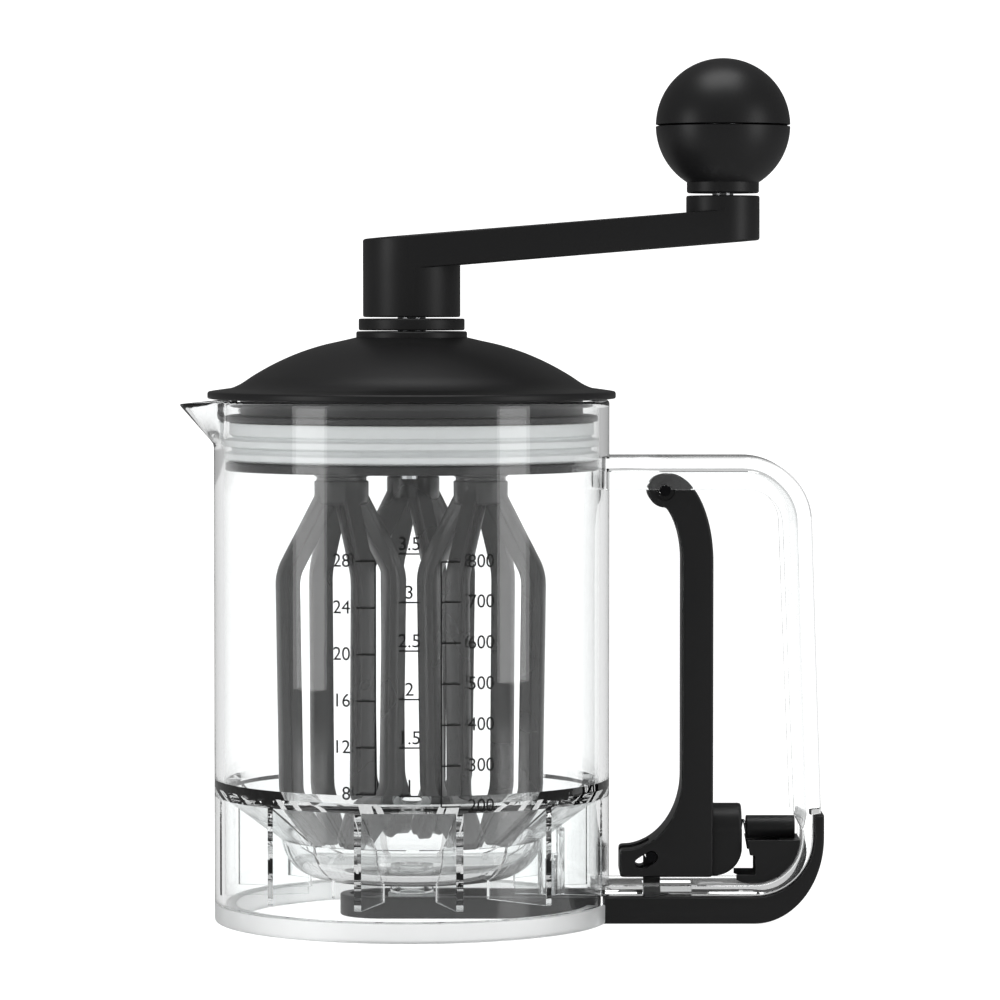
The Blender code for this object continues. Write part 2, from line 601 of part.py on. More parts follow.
def lever():
    """Squeeze lever with forked toe, heel and spring cup."""
    pivot = (PIVOT_X, 0.0, PIVOT_Z)
    body = extruded(lever_outline(), -LEVER_HALF_W, LEVER_HALF_W, along="Y")
    part = make_object("lever", body, BLACK, pivot)
    heel = [(LEVER_OUTER_X - 0.004, CUP_AXIS_Z), (LEVER_OUTER_X - 0.004, LEVER_FOOT_Z + 0.0001)]
    heel += arc(CUP_END_X - HEEL_R, LEVER_FOOT_Z + 0.0001 + HEEL_R, HEEL_R, -90.0, 0.0, 6)
    heel += [(CUP_END_X, CUP_AXIS_Z)]
    add(part, extruded(heel, -CUP_R, CUP_R, along="Y"))
    cup_profile = [(0, CUP_END_X - 0.0001), (CUP_R - 0.0001, CUP_END_X - 0.0001),
                   (CUP_R - 0.0001, LEVER_OUTER_X - 0.003), (0, LEVER_OUTER_X - 0.003)]
    add(part, turned(cup_profile, SMALL_ROUND, (0.0, CUP_AXIS_Z), along="X"))
    cut(part, rod(CUP_BORE_R, CUP_FLOOR_X, CUP_END_X + 0.01, 20, (0.0, CUP_AXIS_Z), along="X"))
    half = UPSTAND_HALF_W + GAP
    cut(part, box(LEVER_TOE_X - 0.001, UPSTAND_X1 + 0.0016, -half, half,
                  0.0, SLIDE_PIN_Z + UPSTAND_TOP + 0.0020))
    tilt = math.degrees(math.atan2(SLOT_RUN_Z, SLOT_RUN_X))
    slot = arc(SLIDE_PIN_X, SLIDE_PIN_Z, SLOT_R, tilt - 90.0, tilt + 90.0, 6)
    slot += arc(SLIDE_PIN_X - SLOT_RUN_X, SLIDE_PIN_Z - SLOT_RUN_Z, SLOT_R, tilt + 90.0, tilt + 270.0, 6)
    cut(part, extruded(slot, -0.02, 0.02, along="Y"))
    cut(part, rod(PIN_R + RUN, -0.02, 0.02, 16, (PIVOT_X, PIVOT_Z), along="Y"))


def spring_guide():
    """Black web and guide tube that sit in the handle's lower corner."""
    r = HANDLE_FOOT_CORNER_R - HANDLE_FOOT_WEB - FLANGE_STUB - GAP
    cx, cz = FOOT_CORNER_X, FOOT_CORNER_Z
    low = cz - r
    tab_x, tab_z = GUIDE_WEB_X - 0.0055, low + 0.0008
    top_angle = math.degrees(math.asin((GUIDE_WEB_TOP_Z - cz) / r))
    outline = arc(cx, cz, r, top_angle, -90.0, 8)
    outline += [(tab_x + 0.002, low), (tab_x, tab_z), (tab_x, tab_z + 0.0014)]
    outline += [(GUIDE_WEB_X, tab_z + 0.0014), (GUIDE_WEB_X, GUIDE_WEB_TOP_Z - 0.0045)]
    outline += [(GUIDE_WEB_X - 0.0017, GUIDE_WEB_TOP_Z - 0.0043), (GUIDE_WEB_X - 0.0025, GUIDE_WEB_TOP_Z)]
    web = extruded(outline, -LEVER_HALF_W, LEVER_HALF_W, along="Y")
    guide = make_object("spring_guide", web, BLACK)
    cut(guide, box(0.05, GUIDE_BLOCK_X, -GUIDE_CLEAR_Y, GUIDE_CLEAR_Y, 0.0, 0.05))
    end = cx + math.sqrt(r ** 2 - (CUP_AXIS_Z + GUIDE_TUBE_R - cz) ** 2) - 0.0002
    add(guide, rod(GUIDE_TUBE_R, GUIDE_TUBE_X, end, 20, (0.0, CUP_AXIS_Z), along="X"))
    cut(guide, rod(GUIDE_BORE_R, GUIDE_TUBE_X - 0.01, end - 0.0015, 16, (0.0, CUP_AXIS_Z), along="X"))
    return end - 0.0015


def lever_spring(end_x):
    """Compression spring from the cup's floor to the end of the guide's bore."""
    x0 = CUP_FLOOR_X + GAP + SPRING_WIRE_R
    x1 = end_x - GAP - SPRING_WIRE_R
    per_turn, sides = 8, 5
    count = SPRING_TURNS * per_turn
    lead = math.atan2(x1 - x0, math.tau * SPRING_R * SPRING_TURNS)
    bm = bmesh.new()
    rings = []
    for i in range(count + 1):
        turn = math.tau * i / per_turn
        out_y, out_z = math.cos(turn), math.sin(turn)
        x = x0 + (x1 - x0) * i / count
        ring = []
        for k in range(sides):
            a = math.tau * k / sides
            radial = SPRING_R + SPRING_WIRE_R * math.cos(a)
            side = SPRING_WIRE_R * math.sin(a)
            y = radial * out_y + side * math.sin(lead) * out_z
            z = radial * out_z - side * math.sin(lead) * out_y
            ring.append(bm.verts.new((x + side * math.cos(lead), y, z + CUP_AXIS_Z)))
        rings.append(ring)
    for a, b in zip(rings, rings[1:]):
        for k in range(sides):
            j = (k + 1) % sides
            bm.faces.new((a[k], a[j], b[j], b[k]))
    bm.faces.new(rings[0])
    bm.faces.new(rings[-1])
    make_object("lever_spring", bm, STEEL, (x1, 0.0, CUP_AXIS_Z))


# ---------------------------------------------------------------- lid
def dome_line(drop):
    """Dome's section from neck to brim, drop below its outer surface."""
    return [(NECK_R, DOME_LEVELS[0] - drop)] + [(r, z - drop) for r, z in zip(DOME_RADII, DOME_LEVELS[1:])]


def lid_dome():
    """Black dome with neck, bearing tube, brim and inner skirt."""
    bore = DRIVE_R + RUN
    skirt_foot = FLANGE_TOP_Z + GAP
    skirt_in = LID_SKIRT_R - LID_SKIRT_WALL
    outside = [(bore, NECK_TOP_Z), (NECK_R - 0.0005, NECK_TOP_Z), (NECK_R, NECK_TOP_Z - 0.0005)]
    outside += dome_line(0.0) + [(BRIM_R + r, BRIM_Z + z) for r, z in BRIM_LINE]
    inside = [(BRIM_R - 0.0005, BRIM_Z), (LID_SKIRT_R, BRIM_Z), (LID_SKIRT_R, skirt_foot)]
    inside += [(skirt_in, skirt_foot)]
    inside += [p for p in dome_line(DOME_WALL)[::-1] if p[0] < skirt_in - 0.001]
    tube = bore + BEARING_WALL
    inside += [(tube, DOME_LEVELS[0] - DOME_WALL), (tube, BEARING_FOOT_Z), (bore, BEARING_FOOT_Z)]
    make_object("lid_dome", turned(outside + inside), BLACK)


def gear_housing():
    """Black inverted cup under the dome: top flange, wall, screw posts and bearing sockets."""
    top = FLANGE_TOP_Z
    roof = top - FLANGE_THICK
    flange_r = JUG_R - JUG_WALL - FIT_IN_JUG
    foot = COVER_TOP_Z + GAP
    bore = DRIVE_R + RUN
    inner = HOUSING_R - HOUSING_WALL
    profile = [(bore, top), (flange_r, top), (flange_r, roof), (HOUSING_R, roof), (HOUSING_R, foot),
               (inner, foot), (inner, roof - 0.0004), (bore, roof - 0.0004)]
    housing = make_object("gear_housing", turned(profile), BLACK)
    posts = [rod(BOSS_R, foot, roof + 0.0002, SCREW_ROUND, polar(COVER_SCREW_ORBIT, a)) for a in screw_angles()]
    add(housing, joined(*posts))
    bores = [rod(SCREW_R + GAP, 0.12, screw_top() + GAP, SCREW_ROUND, polar(COVER_SCREW_ORBIT, a))
             for a in screw_angles()]
    cut(housing, joined(*bores))


def polar(radius, degrees):
    return radius * math.cos(math.radians(degrees)), radius * math.sin(math.radians(degrees))


def screw_angles():
    """The cover's screws stand midway between the whisks."""
    return [a + 60.0 for a in WHISK_ANGLES.values()]


def screw_seat():
    return COVER_TOP_Z - COVER_THICK - GAP


def screw_top():
    return screw_seat() + COVER_SCREW_LENGTH


def gear_cover():
    """Round plate that closes the gear housing, with bores for the whisks' shafts."""
    flange_r = JUG_R - JUG_WALL - FIT_IN_JUG
    low, high = COVER_TOP_Z - COVER_THICK, COVER_TOP_Z
    cover = make_object("gear_cover", rod(flange_r, low, high, ROUND), BLACK)
    holes = [rod(WHISK_SHAFT_R + RUN, low - 0.01, high + 0.01, SMALL_ROUND, polar(ORBIT_R, a))
             for a in WHISK_ANGLES.values()]
    holes += [rod(SCREW_R + GAP, low - 0.01, high + 0.01, SCREW_ROUND, polar(COVER_SCREW_ORBIT, a))
              for a in screw_angles()]
    cut(cover, joined(*holes))
    for i, angle in enumerate(screw_angles(), start=1):
        x, y = polar(COVER_SCREW_ORBIT, angle)
        seat = screw_seat()
        profile = [(0, screw_top()), (SCREW_R, screw_top()), (SCREW_R, seat), (SCREW_HEAD_R, seat),
                   (SCREW_HEAD_R, seat - SCREW_HEAD_H), (0, seat - SCREW_HEAD_H)]
        make_object(f"cover_screw_{i}", turned(profile, SCREW_ROUND, (x, y)), STEEL, (x, y, seat))


def lid_seal():
    """Silicone ring round the gear housing, with two pairs of lips."""
    lip = JUG_R - JUG_WALL - SEAL_FIT
    body = SEAL_BODY_R
    inner = HOUSING_R + GAP
    high = FLANGE_TOP_Z - FLANGE_THICK - GAP
    low = COVER_TOP_Z + GAP
    profile = [(inner, high), (body, high)]
    for middle in SEAL_LIPS_Z:
        profile += [(body, middle + SEAL_LIP_HALF), (lip, middle), (body, middle - SEAL_LIP_HALF)]
    profile += [(body, low), (inner, low)]
    make_object("lid_seal", turned(profile), SILICONE)


# ---------------------------------------------------------------- gears
def gear_outline(teeth, tooth_angle):
    """Involute gear outline with one tooth centred on tooth_angle, in radians."""
    pitch_r = MODULE * teeth / 2
    base_r = pitch_r * math.cos(PRESSURE)
    tip_r = pitch_r + ADDENDUM * MODULE
    root_r = pitch_r - DEDENDUM * MODULE
    half_pitch = (math.pi * MODULE / 2 - BACKLASH) / (2 * pitch_r)

    def roll(radius):
        """Involute polar angle from the base circle to this radius."""
        if radius <= base_r:
            return 0.0
        tangent = math.sqrt((radius / base_r) ** 2 - 1.0)
        return tangent - math.atan(tangent)

    radii = [root_r, max(base_r, root_r + 0.0001), pitch_r, tip_r]
    flank = [(r, half_pitch + roll(pitch_r) - roll(r)) for r in radii]
    outline = []
    for i in range(teeth):
        middle = tooth_angle + math.tau * i / teeth
        outline += [(r, middle - a) for r, a in flank]
        outline += [(r, middle + a) for r, a in flank[::-1]]
    return [(r * math.cos(a), r * math.sin(a)) for r, a in outline]


def gear(name, teeth, tooth_angle, centre, shaft_r):
    """Straight-cut gear on a round shaft."""
    x, y = centre
    outline = [(a + x, b + y) for a, b in gear_outline(teeth, tooth_angle)]
    body = make_object(name, extruded(outline, GEAR_Z, GEAR_Z + GEAR_H), ACETAL, (x, y, GEAR_Z))
    cut(body, rod(shaft_r + GAP, GEAR_Z - 0.01, GEAR_Z + GEAR_H + 0.01, 16, centre))


def pinion_angle(azimuth):
    """Angle of one pinion tooth so that a gap faces the sun gear's nearest tooth."""
    sun_pitch = 360.0 / SUN_TEETH
    lead = round(azimuth / sun_pitch) * sun_pitch - azimuth
    return math.radians(azimuth + 180.0 - lead * SUN_TEETH / PINION_TEETH + 180.0 / PINION_TEETH)


# ---------------------------------------------------------------- whisks
def bar_path():
    """Outer-face line of a whisk bar in (radius, z), from inside the hub to the toe."""
    shoulder_r, knee_r = BAR_FACE_R, BAR_FACE_R - BAR_LEAN
    start = (HUB_R * 0.75, HUB_TOP_Z - 0.0030)
    toe = (BAR_TOE_R, BAR_TOE_Z)
    line = [start]
    line += blend_corner(start, (shoulder_r, BAR_SHOULDER_Z), (knee_r, BAR_KNEE_Z), 0.004)
    line += blend_corner((shoulder_r, BAR_SHOULDER_Z), (knee_r, BAR_KNEE_Z), toe, 0.004)
    return line + [toe]


def blend_corner(before, corner, after, setback, steps=2):
    """Points of a smooth curve that replaces a corner, starting setback before it."""
    def towards(target):
        dx, dz = target[0] - corner[0], target[1] - corner[1]
        scale = setback / math.hypot(dx, dz)
        return corner[0] + dx * scale, corner[1] + dz * scale
    p, q = towards(before), towards(after)
    points = []
    for i in range(steps + 1):
        t = i / steps
        points.append(tuple((1 - t) ** 2 * a + 2 * t * (1 - t) * b + t ** 2 * c
                            for a, b, c in zip(p, corner, q)))
    return points


def whisk_bar(azimuth):
    """One stepped bar carried along its path, in the whisk's own coordinates."""
    path = bar_path()
    face, back = BAR_FACE_W / 2, BAR_BACK_W / 2
    section = [(0, -face), (0, face), (BAR_STEP, face), (BAR_STEP, back), (BAR_DEPTH, back),
               (BAR_DEPTH, -back), (BAR_STEP, -back), (BAR_STEP, -face)]
    bm = bmesh.new()
    rings = []
    for i, (r, z) in enumerate(path):
        before, after = path[max(i - 1, 0)], path[min(i + 1, len(path) - 1)]
        length = math.hypot(after[0] - before[0], after[1] - before[1])
        in_r, in_z = (after[1] - before[1]) / length, -(after[0] - before[0]) / length
        ring = [bm.verts.new((r + in_r * d, w, z + in_z * d)) for d, w in section]
        rings.append(ring)
    for a, b in zip(rings, rings[1:]):
        for i in range(len(a)):
            j = (i + 1) % len(a)
            bm.faces.new((a[i], a[j], b[j], b[i]))
    bm.faces.new(rings[0])
    bm.faces.new(rings[-1])
    bmesh.ops.rotate(bm, verts=bm.verts, cent=(0, 0, 0), matrix=Matrix.Rotation(azimuth, 3, "Z"))
    return bm


def whisk(name, azimuth):
    """Hub with four open-ended bars, its shaft and its pinion."""
    centre = polar(ORBIT_R, azimuth)
    top, foot = HUB_TOP_Z, HUB_FOOT_Z
    profile = [(0, top), (HUB_R, top), (HUB_R, top - 0.0010), (HUB_R - HUB_GROOVE, top - 0.0013),
               (HUB_R - HUB_GROOVE, top - 0.0022), (HUB_R, top - 0.0025), (HUB_R, foot + 0.001),
               (HUB_R - 0.001, foot), (0, foot)]
    cage = make_object(f"whisk_{name}", turned(profile, SMALL_ROUND, centre), NYLON, (*centre, foot))
    for k in range(BARS):
        bar = whisk_bar(math.radians(BAR_TURN[name]) + math.tau * k / BARS)
        bmesh.ops.translate(bar, verts=bar.verts, vec=(*centre, 0.0))
        add(cage, bar)
    seat = foot + HUB_FLOOR
    cut(cage, rod(WHISK_SHAFT_R + GAP, seat, top + 0.01, 16, centre))
    shaft_top = FLANGE_TOP_Z - FLANGE_THICK - 0.0004 - GAP
    shaft = rod(WHISK_SHAFT_R, seat + GAP, shaft_top, SMALL_ROUND, centre)
    make_object(f"whisk_shaft_{name}", shaft, STEEL, (*centre, seat))
    gear(f"pinion_{name}", PINION_TEETH, pinion_angle(azimuth), centre, WHISK_SHAFT_R)


# ---------------------------------------------------------------- crank and knob
def tangent_outline(r0, x1, r1, steps=7):
    """Plan outline round two circles on the x axis, joined by their common tangents."""
    lean = math.degrees(math.acos((r0 - r1) / x1))
    return arc(0.0, 0.0, r0, lean, 360.0 - lean, steps * 2) + arc(x1, 0.0, r1, -lean, lean, steps)


def crank_arm():
    """Hub, rising arm and knob boss."""
    bm = extruded(tangent_outline(CRANK_HUB_R, KNOB_X, KNOB_BOSS_R), 0.0, 1.0)
    for v in bm.verts:
        top = v.co.z > 0.5
        rise = ARM_TOP_RISE if top else ARM_FOOT_RISE
        v.co.z = (ARM_TOP_Z if top else ARM_FOOT_Z) + rise * v.co.x
    arm = make_object("crank_arm", bm, BLACK)
    add(arm, rod(CRANK_HUB_R - 0.0001, CRANK_HUB_Z, ARM_FOOT_Z + 0.003, KNOB_ROUND))
    boss_foot = ARM_FOOT_Z + ARM_FOOT_RISE * KNOB_X + 0.002
    add(arm, rod(KNOB_BOSS_R - 0.0001, boss_foot, KNOB_BOSS_TOP_Z, SMALL_ROUND, (KNOB_X, 0.0)))
    cut(arm, rod(DRIVE_R + GAP, CRANK_HUB_Z - 0.01, SHAFT_TOP_Z + GAP, SMALL_ROUND))
    seat = KNOB_BOSS_TOP_Z - KNOB_PIN_SEAT
    cut(arm, rod(KNOB_PIN_R + GAP, seat, KNOB_BOSS_TOP_Z + 0.01, SMALL_ROUND, (KNOB_X, 0.0)))


def crank_collar():
    """Ring between the lid's neck and the crank's hub."""
    low, high = COLLAR_Z, COLLAR_Z + COLLAR_H
    bore = DRIVE_R + GAP
    e = 0.0004
    profile = [(bore, high), (COLLAR_R - e, high), (COLLAR_R, high - e), (COLLAR_R, low + e),
               (COLLAR_R - e, low), (bore, low)]
    make_object("crank_collar", turned(profile, KNOB_ROUND), BLACK)


def drive_train():
    """Crank shaft with the sun gear at its foot."""
    make_object("drive_shaft", rod(DRIVE_R, COVER_TOP_Z + GAP, SHAFT_TOP_Z), STEEL)
    gear("sun_gear", SUN_TEETH, 0.0, (0.0, 0.0), DRIVE_R)


def knob():
    """Ball knob in two halves, and the pin that it spins on."""
    here = (KNOB_X, 0.0)
    origin = (KNOB_X, 0.0, KNOB_Z)
    bore = KNOB_PIN_R + RUN
    seam = KNOB_Z - GAP / 2
    waist = -math.degrees(math.acos(KNOB_COLLAR_R / KNOB_R))
    ball = arc(0.0, KNOB_Z, KNOB_R, 0.0, waist, 6)
    ball[0] = (KNOB_R, seam)
    lower = [(bore, seam)] + ball + [(KNOB_COLLAR_R, KNOB_COLLAR_Z), (bore, KNOB_COLLAR_Z)]
    make_object("knob_lower", turned(lower, KNOB_ROUND, here), BLACK, origin)
    hollow = arc(0.0, KNOB_Z, KNOB_R - KNOB_SHELL, 0.0, 90.0, 5)
    dome = arc(0.0, KNOB_Z, KNOB_R, 90.0, 0.0, 7)
    dome[0] = (0.0, KNOB_Z + KNOB_R)
    hollow[-1] = (0.0, KNOB_Z + KNOB_R - KNOB_SHELL)
    rim = KNOB_Z + GAP / 2
    dome[-1] = (KNOB_R, rim)
    hollow[0] = (KNOB_R - KNOB_SHELL, rim)
    make_object("knob_upper", turned(dome + hollow, KNOB_ROUND, here), BLACK, origin)
    foot = KNOB_BOSS_TOP_Z - KNOB_PIN_SEAT + GAP
    head = seam + GAP
    profile = [(0, head + KNOB_PIN_HEAD_H), (KNOB_PIN_HEAD_R, head + KNOB_PIN_HEAD_H),
               (KNOB_PIN_HEAD_R, head), (KNOB_PIN_R, head), (KNOB_PIN_R, foot), (0, foot)]
    make_object("knob_pin", turned(profile, SMALL_ROUND, here), STEEL, (KNOB_X, 0.0, foot))


def build():
    jug_body()
    foot_ring()
    base_bracket()
    bracket_screws()
    valve_slide()
    valve_seal()
    handle_loop()
    lever()
    lever_spring(spring_guide())
    lid_dome()
    gear_housing()
    gear_cover()
    lid_seal()
    for name, azimuth in WHISK_ANGLES.items():
        whisk(name, azimuth)
    crank_arm()
    crank_collar()
    drive_train()
    knob()


clear_scene()
ROOT = bpy.data.objects.new("footprint_middle", None)
ROOT.location = (FRAME_X, 0.0, 0.0)
bpy.context.scene.collection.objects.link(ROOT)
build()
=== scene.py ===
# %% [markdown]
# A hand-crank whisk jug, dressed for its portrait.
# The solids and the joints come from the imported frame. This script makes the surfaces that the eye
# sees: the clear moulded jug and handle, the satin black lid, crank, knob, lever and bracket, the
# glossy whisks and the milky seal. Each shape is worked out in millimetres round the jug's own axis
# and is then put into the frame in metres.

# %% Open the frame
import math

import bmesh
import bpy
import numpy as np
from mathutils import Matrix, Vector


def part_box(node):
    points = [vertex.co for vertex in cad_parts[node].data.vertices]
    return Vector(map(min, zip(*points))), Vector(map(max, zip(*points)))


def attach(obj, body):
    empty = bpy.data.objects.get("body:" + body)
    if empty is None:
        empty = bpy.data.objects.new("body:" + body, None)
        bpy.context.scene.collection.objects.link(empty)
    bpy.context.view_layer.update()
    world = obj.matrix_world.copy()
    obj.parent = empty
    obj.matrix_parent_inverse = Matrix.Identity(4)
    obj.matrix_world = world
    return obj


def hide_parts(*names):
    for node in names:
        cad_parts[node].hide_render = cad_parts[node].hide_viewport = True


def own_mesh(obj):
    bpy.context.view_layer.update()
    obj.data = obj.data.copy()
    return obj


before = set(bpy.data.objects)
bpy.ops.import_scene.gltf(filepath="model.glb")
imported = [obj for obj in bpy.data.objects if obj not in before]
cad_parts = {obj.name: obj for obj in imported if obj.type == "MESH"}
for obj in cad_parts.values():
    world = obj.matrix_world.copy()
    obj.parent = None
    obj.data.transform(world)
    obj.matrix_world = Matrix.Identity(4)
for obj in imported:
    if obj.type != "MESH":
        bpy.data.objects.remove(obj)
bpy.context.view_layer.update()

MM = 0.001
low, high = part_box("lid_dome")
AXIS_X = (low.x + high.x) / 2 / MM

# %% [markdown]
# A surface here is a grid of points. Turned pieces carry an outline of (radius, height) round an
# axis, and mouldings carry an outline along a path. One function makes the faces of any grid, so a
# shape is only ever the rule for its points. Sharp corners catch no light, so outlines get small
# round corners first, the way a mould leaves them.


# %% Grids, outlines and meshes
def grid_faces(rows, columns, wrap_rows, wrap_columns):
    """Each face joins a grid point to its next row and its next column."""
    i = np.arange(rows if wrap_rows else rows - 1)
    j = np.arange(columns if wrap_columns else columns - 1)
    i, j = np.meshgrid(i, j, indexing="ij")
    i2, j2 = (i + 1) % rows, (j + 1) % columns
    corners = [i * columns + j, i2 * columns + j, i2 * columns + j2, i * columns + j2]
    return np.stack(corners, axis=-1).reshape(-1, 4)


def put(name, grid, wrap_rows=False, wrap_columns=True, caps=True, sharp=32.0):
    """Make a closed mesh of a grid of points in mm round the jug's axis; caps close the end rows."""
    rows, columns, _ = grid.shape
    faces = grid_faces(rows, columns, wrap_rows, wrap_columns).tolist()
    if caps and not wrap_rows:
        faces.append(list(range(columns)))
        faces.append(list(range((rows - 1) * columns, rows * columns)))
    points = (grid.reshape(-1, 3) + (AXIS_X, 0.0, 0.0)) * MM
    mesh = bpy.data.meshes.new(name)
    mesh.from_pydata(points.tolist(), [], faces)
    bm = bmesh.new()
    bm.from_mesh(mesh)
    bmesh.ops.remove_doubles(bm, verts=bm.verts, dist=1e-7)
    bmesh.ops.dissolve_degenerate(bm, edges=bm.edges, dist=1e-8)
    bmesh.ops.recalc_face_normals(bm, faces=bm.faces)
    bm.to_mesh(mesh)
    bm.free()
    mesh.shade_smooth()
    mesh.set_sharp_from_angle(angle=math.radians(sharp))
    piece = bpy.data.objects.new(name, mesh)
    bpy.context.scene.collection.objects.link(piece)
    return piece


def rounded(outline, radius, steps=4):
    """Each corner C of a closed outline becomes (1-t)^2 P + 2t(1-t) C + t^2 Q, P and Q set back by radius."""
    corner = np.asarray(outline, float)
    back, ahead = np.roll(corner, 1, 0) - corner, np.roll(corner, -1, 0) - corner
    back_len = np.linalg.norm(back, axis=1, keepdims=True)
    ahead_len = np.linalg.norm(ahead, axis=1, keepdims=True)
    reach = np.broadcast_to(radius, (len(corner),)).reshape(-1, 1)
    p = corner + back / back_len * np.minimum(reach, 0.45 * back_len)
    q = corner + ahead / ahead_len * np.minimum(reach, 0.45 * ahead_len)
    t = np.linspace(0.0, 1.0, steps + 1)[None, :, None]
    curve = (1 - t) ** 2 * p[:, None] + 2 * t * (1 - t) * corner[:, None] + t ** 2 * q[:, None]
    return curve.reshape(-1, 2)


def arc(centre, radius, start, end, steps):
    """Points centre + radius (cos a, sin a) for a from start to end degrees."""
    a = np.radians(np.linspace(start, end, steps + 1))
    return np.stack([centre[0] + radius * np.cos(a), centre[1] + radius * np.sin(a)], axis=-1)


def turned(name, outline, centre=(0.0, 0.0), segments=160, along="Z", sharp=32.0):
    """Spin an outline of (radius, height): point (r cos a, r sin a, h) for every angle a."""
    outline = np.asarray(outline, float)
    a = np.linspace(0.0, math.tau, segments, endpoint=False)[:, None]
    r, h = outline[None, :, 0], outline[None, :, 1] + 0.0 * a
    u, v = r * np.cos(a) + centre[0], r * np.sin(a) + centre[1]
    order = {"Z": (u, v, h), "Y": (u, h, v), "X": (h, u, v)}[along]
    return put(name, np.stack(order, axis=-1), wrap_rows=True, sharp=sharp)


def inset(outline, depth):
    """Move each point of a closed outline inwards along the mean normal of its two edges."""
    ahead = np.roll(outline, -1, 0) - outline
    ahead = ahead / np.maximum(np.linalg.norm(ahead, axis=1, keepdims=True), 1e-9)
    back = np.roll(ahead, 1, 0)
    x, y = outline[:, 0], outline[:, 1]
    area = np.sum(x * np.roll(y, -1) - y * np.roll(x, -1))
    tangent = ahead + back
    tangent = tangent / np.maximum(np.linalg.norm(tangent, axis=1, keepdims=True), 1e-9)
    normal = np.stack([-tangent[:, 1], tangent[:, 0]], axis=-1) * np.sign(area)
    mitre = np.clip(np.sum(tangent * ahead, axis=1, keepdims=True), 0.5, 1.0)
    return outline + normal * depth / mitre


def plate(name, outline, low, high, edge=0.6, along="Y", steps=4, sharp=32.0):
    """Carry an outline from low to high; near each end it shrinks by edge (1 - sin a) for a round edge."""
    outline = np.asarray(outline, float)
    a = np.linspace(0.0, math.pi / 2, steps + 1)
    depth = np.concatenate([edge * (1 - np.sin(a)), edge * (1 - np.sin(a[::-1]))])
    place = np.concatenate([low + edge * (1 - np.cos(a)), high - edge * (1 - np.cos(a[::-1]))])
    rings = []
    for d, s in zip(depth, place):
        ring = inset(outline, d)
        fill = np.full(len(ring), s)
        columns = (ring[:, 0], fill, ring[:, 1]) if along == "Y" else (ring[:, 0], ring[:, 1], fill)
        rings.append(np.stack(columns, axis=-1))
    return put(name, np.stack(rings), sharp=sharp)


def carve(piece, tools, operation, sharp=32.0):
    """Cut tools from a piece, or weld them to it, and keep only the result."""
    for tool in tools:
        step = piece.modifiers.new(operation.lower(), "BOOLEAN")
        step.operation = operation
        step.object = tool
        bpy.context.view_layer.update()
        shape = piece.evaluated_get(bpy.context.evaluated_depsgraph_get())
        mesh = bpy.data.meshes.new_from_object(shape)
        piece.modifiers.clear()
        piece.data = mesh
        bpy.data.objects.remove(tool)
    piece.data.shade_smooth()
    piece.data.set_sharp_from_angle(angle=math.radians(sharp))
    return piece


def count(piece):
    """Say how many faces a piece has."""
    print(f"{piece.name}: {len(piece.data.polygons)} faces")
    return piece


# %% [markdown]
# The materials start here with three small tools. Colours are written as the hex values a designer
# would quote and are turned to the linear values that the renderer mixes. One function adds any
# node with its settings and links.


# %% Material tools
def linear(code):
    """Linear RGBA of an sRGB hex colour: ((c + 0.055) / 1.055) ** 2.4 above the toe."""
    channel = np.array([int(code[i:i + 2], 16) for i in (1, 3, 5)]) / 255.0
    value = np.where(channel <= 0.04045, channel / 12.92, ((channel + 0.055) / 1.055) ** 2.4)
    return (*value.tolist(), 1.0)


def node(tree, kind, settings=None, values=None, links=None):
    """Add a node of a kind with its settings, its socket values, and links into its sockets."""
    made = tree.nodes.new(kind)
    for key, value in (settings or {}).items():
        setattr(made, key, value)
    for key, value in (values or {}).items():
        made.inputs[key].default_value = value
    for key, source in (links or {}).items():
        tree.links.new(source, made.inputs[key])
    return made


def new_material(name):
    """An empty node material with its output and Object coordinates."""
    made = bpy.data.materials.new(name)
    made.use_nodes = True
    tree = made.node_tree
    tree.nodes.clear()
    output = node(tree, "ShaderNodeOutputMaterial")
    place = node(tree, "ShaderNodeTexCoord").outputs["Object"]
    return made, tree, output, place


def per_mm(size):
    """Noise scale that gives features of this many millimetres on Object coordinates."""
    return 1.0 / (size * MM)


# %% [markdown]
# The jug and handle are moulded in a clear styrene plastic. Its index of refraction, 1.57, is what
# makes the rim, the ribs and the two sides of the wall draw themselves as bright and dark lines.
# Real light reaches the whisks through the wall, so the wall also lets lamps through: for shadow
# rays it is plain transparent. A long, very shallow ripple is what a mould leaves in thick clear
# plastic, and it keeps the highlights from looking like ruled lines.


# %% Clear styrene, injection moulded and polished
def clear_styrene():
    made, tree, output, place = new_material("clear_styrene_moulded")
    ripple = node(tree, "ShaderNodeTexNoise", None,
                  {"Scale": per_mm(22.0), "Detail": 1.0, "Roughness": 0.4}, {"Vector": place})
    bump = node(tree, "ShaderNodeBump", None, {"Strength": 0.05, "Distance": 0.0004},
                {"Height": ripple.outputs["Fac"]})
    glass = node(tree, "ShaderNodeBsdfPrincipled", None,
                 {"Base Color": linear("#FCFDFD"), "Roughness": 0.012, "IOR": 1.57,
                  "Transmission Weight": 1.0}, {"Normal": bump.outputs["Normal"]})
    through = node(tree, "ShaderNodeBsdfTransparent", None, {"Color": linear("#F7F8F8")})
    rays = node(tree, "ShaderNodeLightPath")
    mix = node(tree, "ShaderNodeMixShader", None, None,
               {0: rays.outputs["Is Shadow Ray"], 1: glass.outputs[0], 2: through.outputs[0]})
    tree.links.new(mix.outputs[0], output.inputs["Surface"])
    return made


CLEAR = clear_styrene()
print("made", CLEAR.name)

# %% [markdown]
# The foot ring is the same plastic with a little white in it, blasted in the mould, so it glows a
# milky grey and hides the worktop behind it.


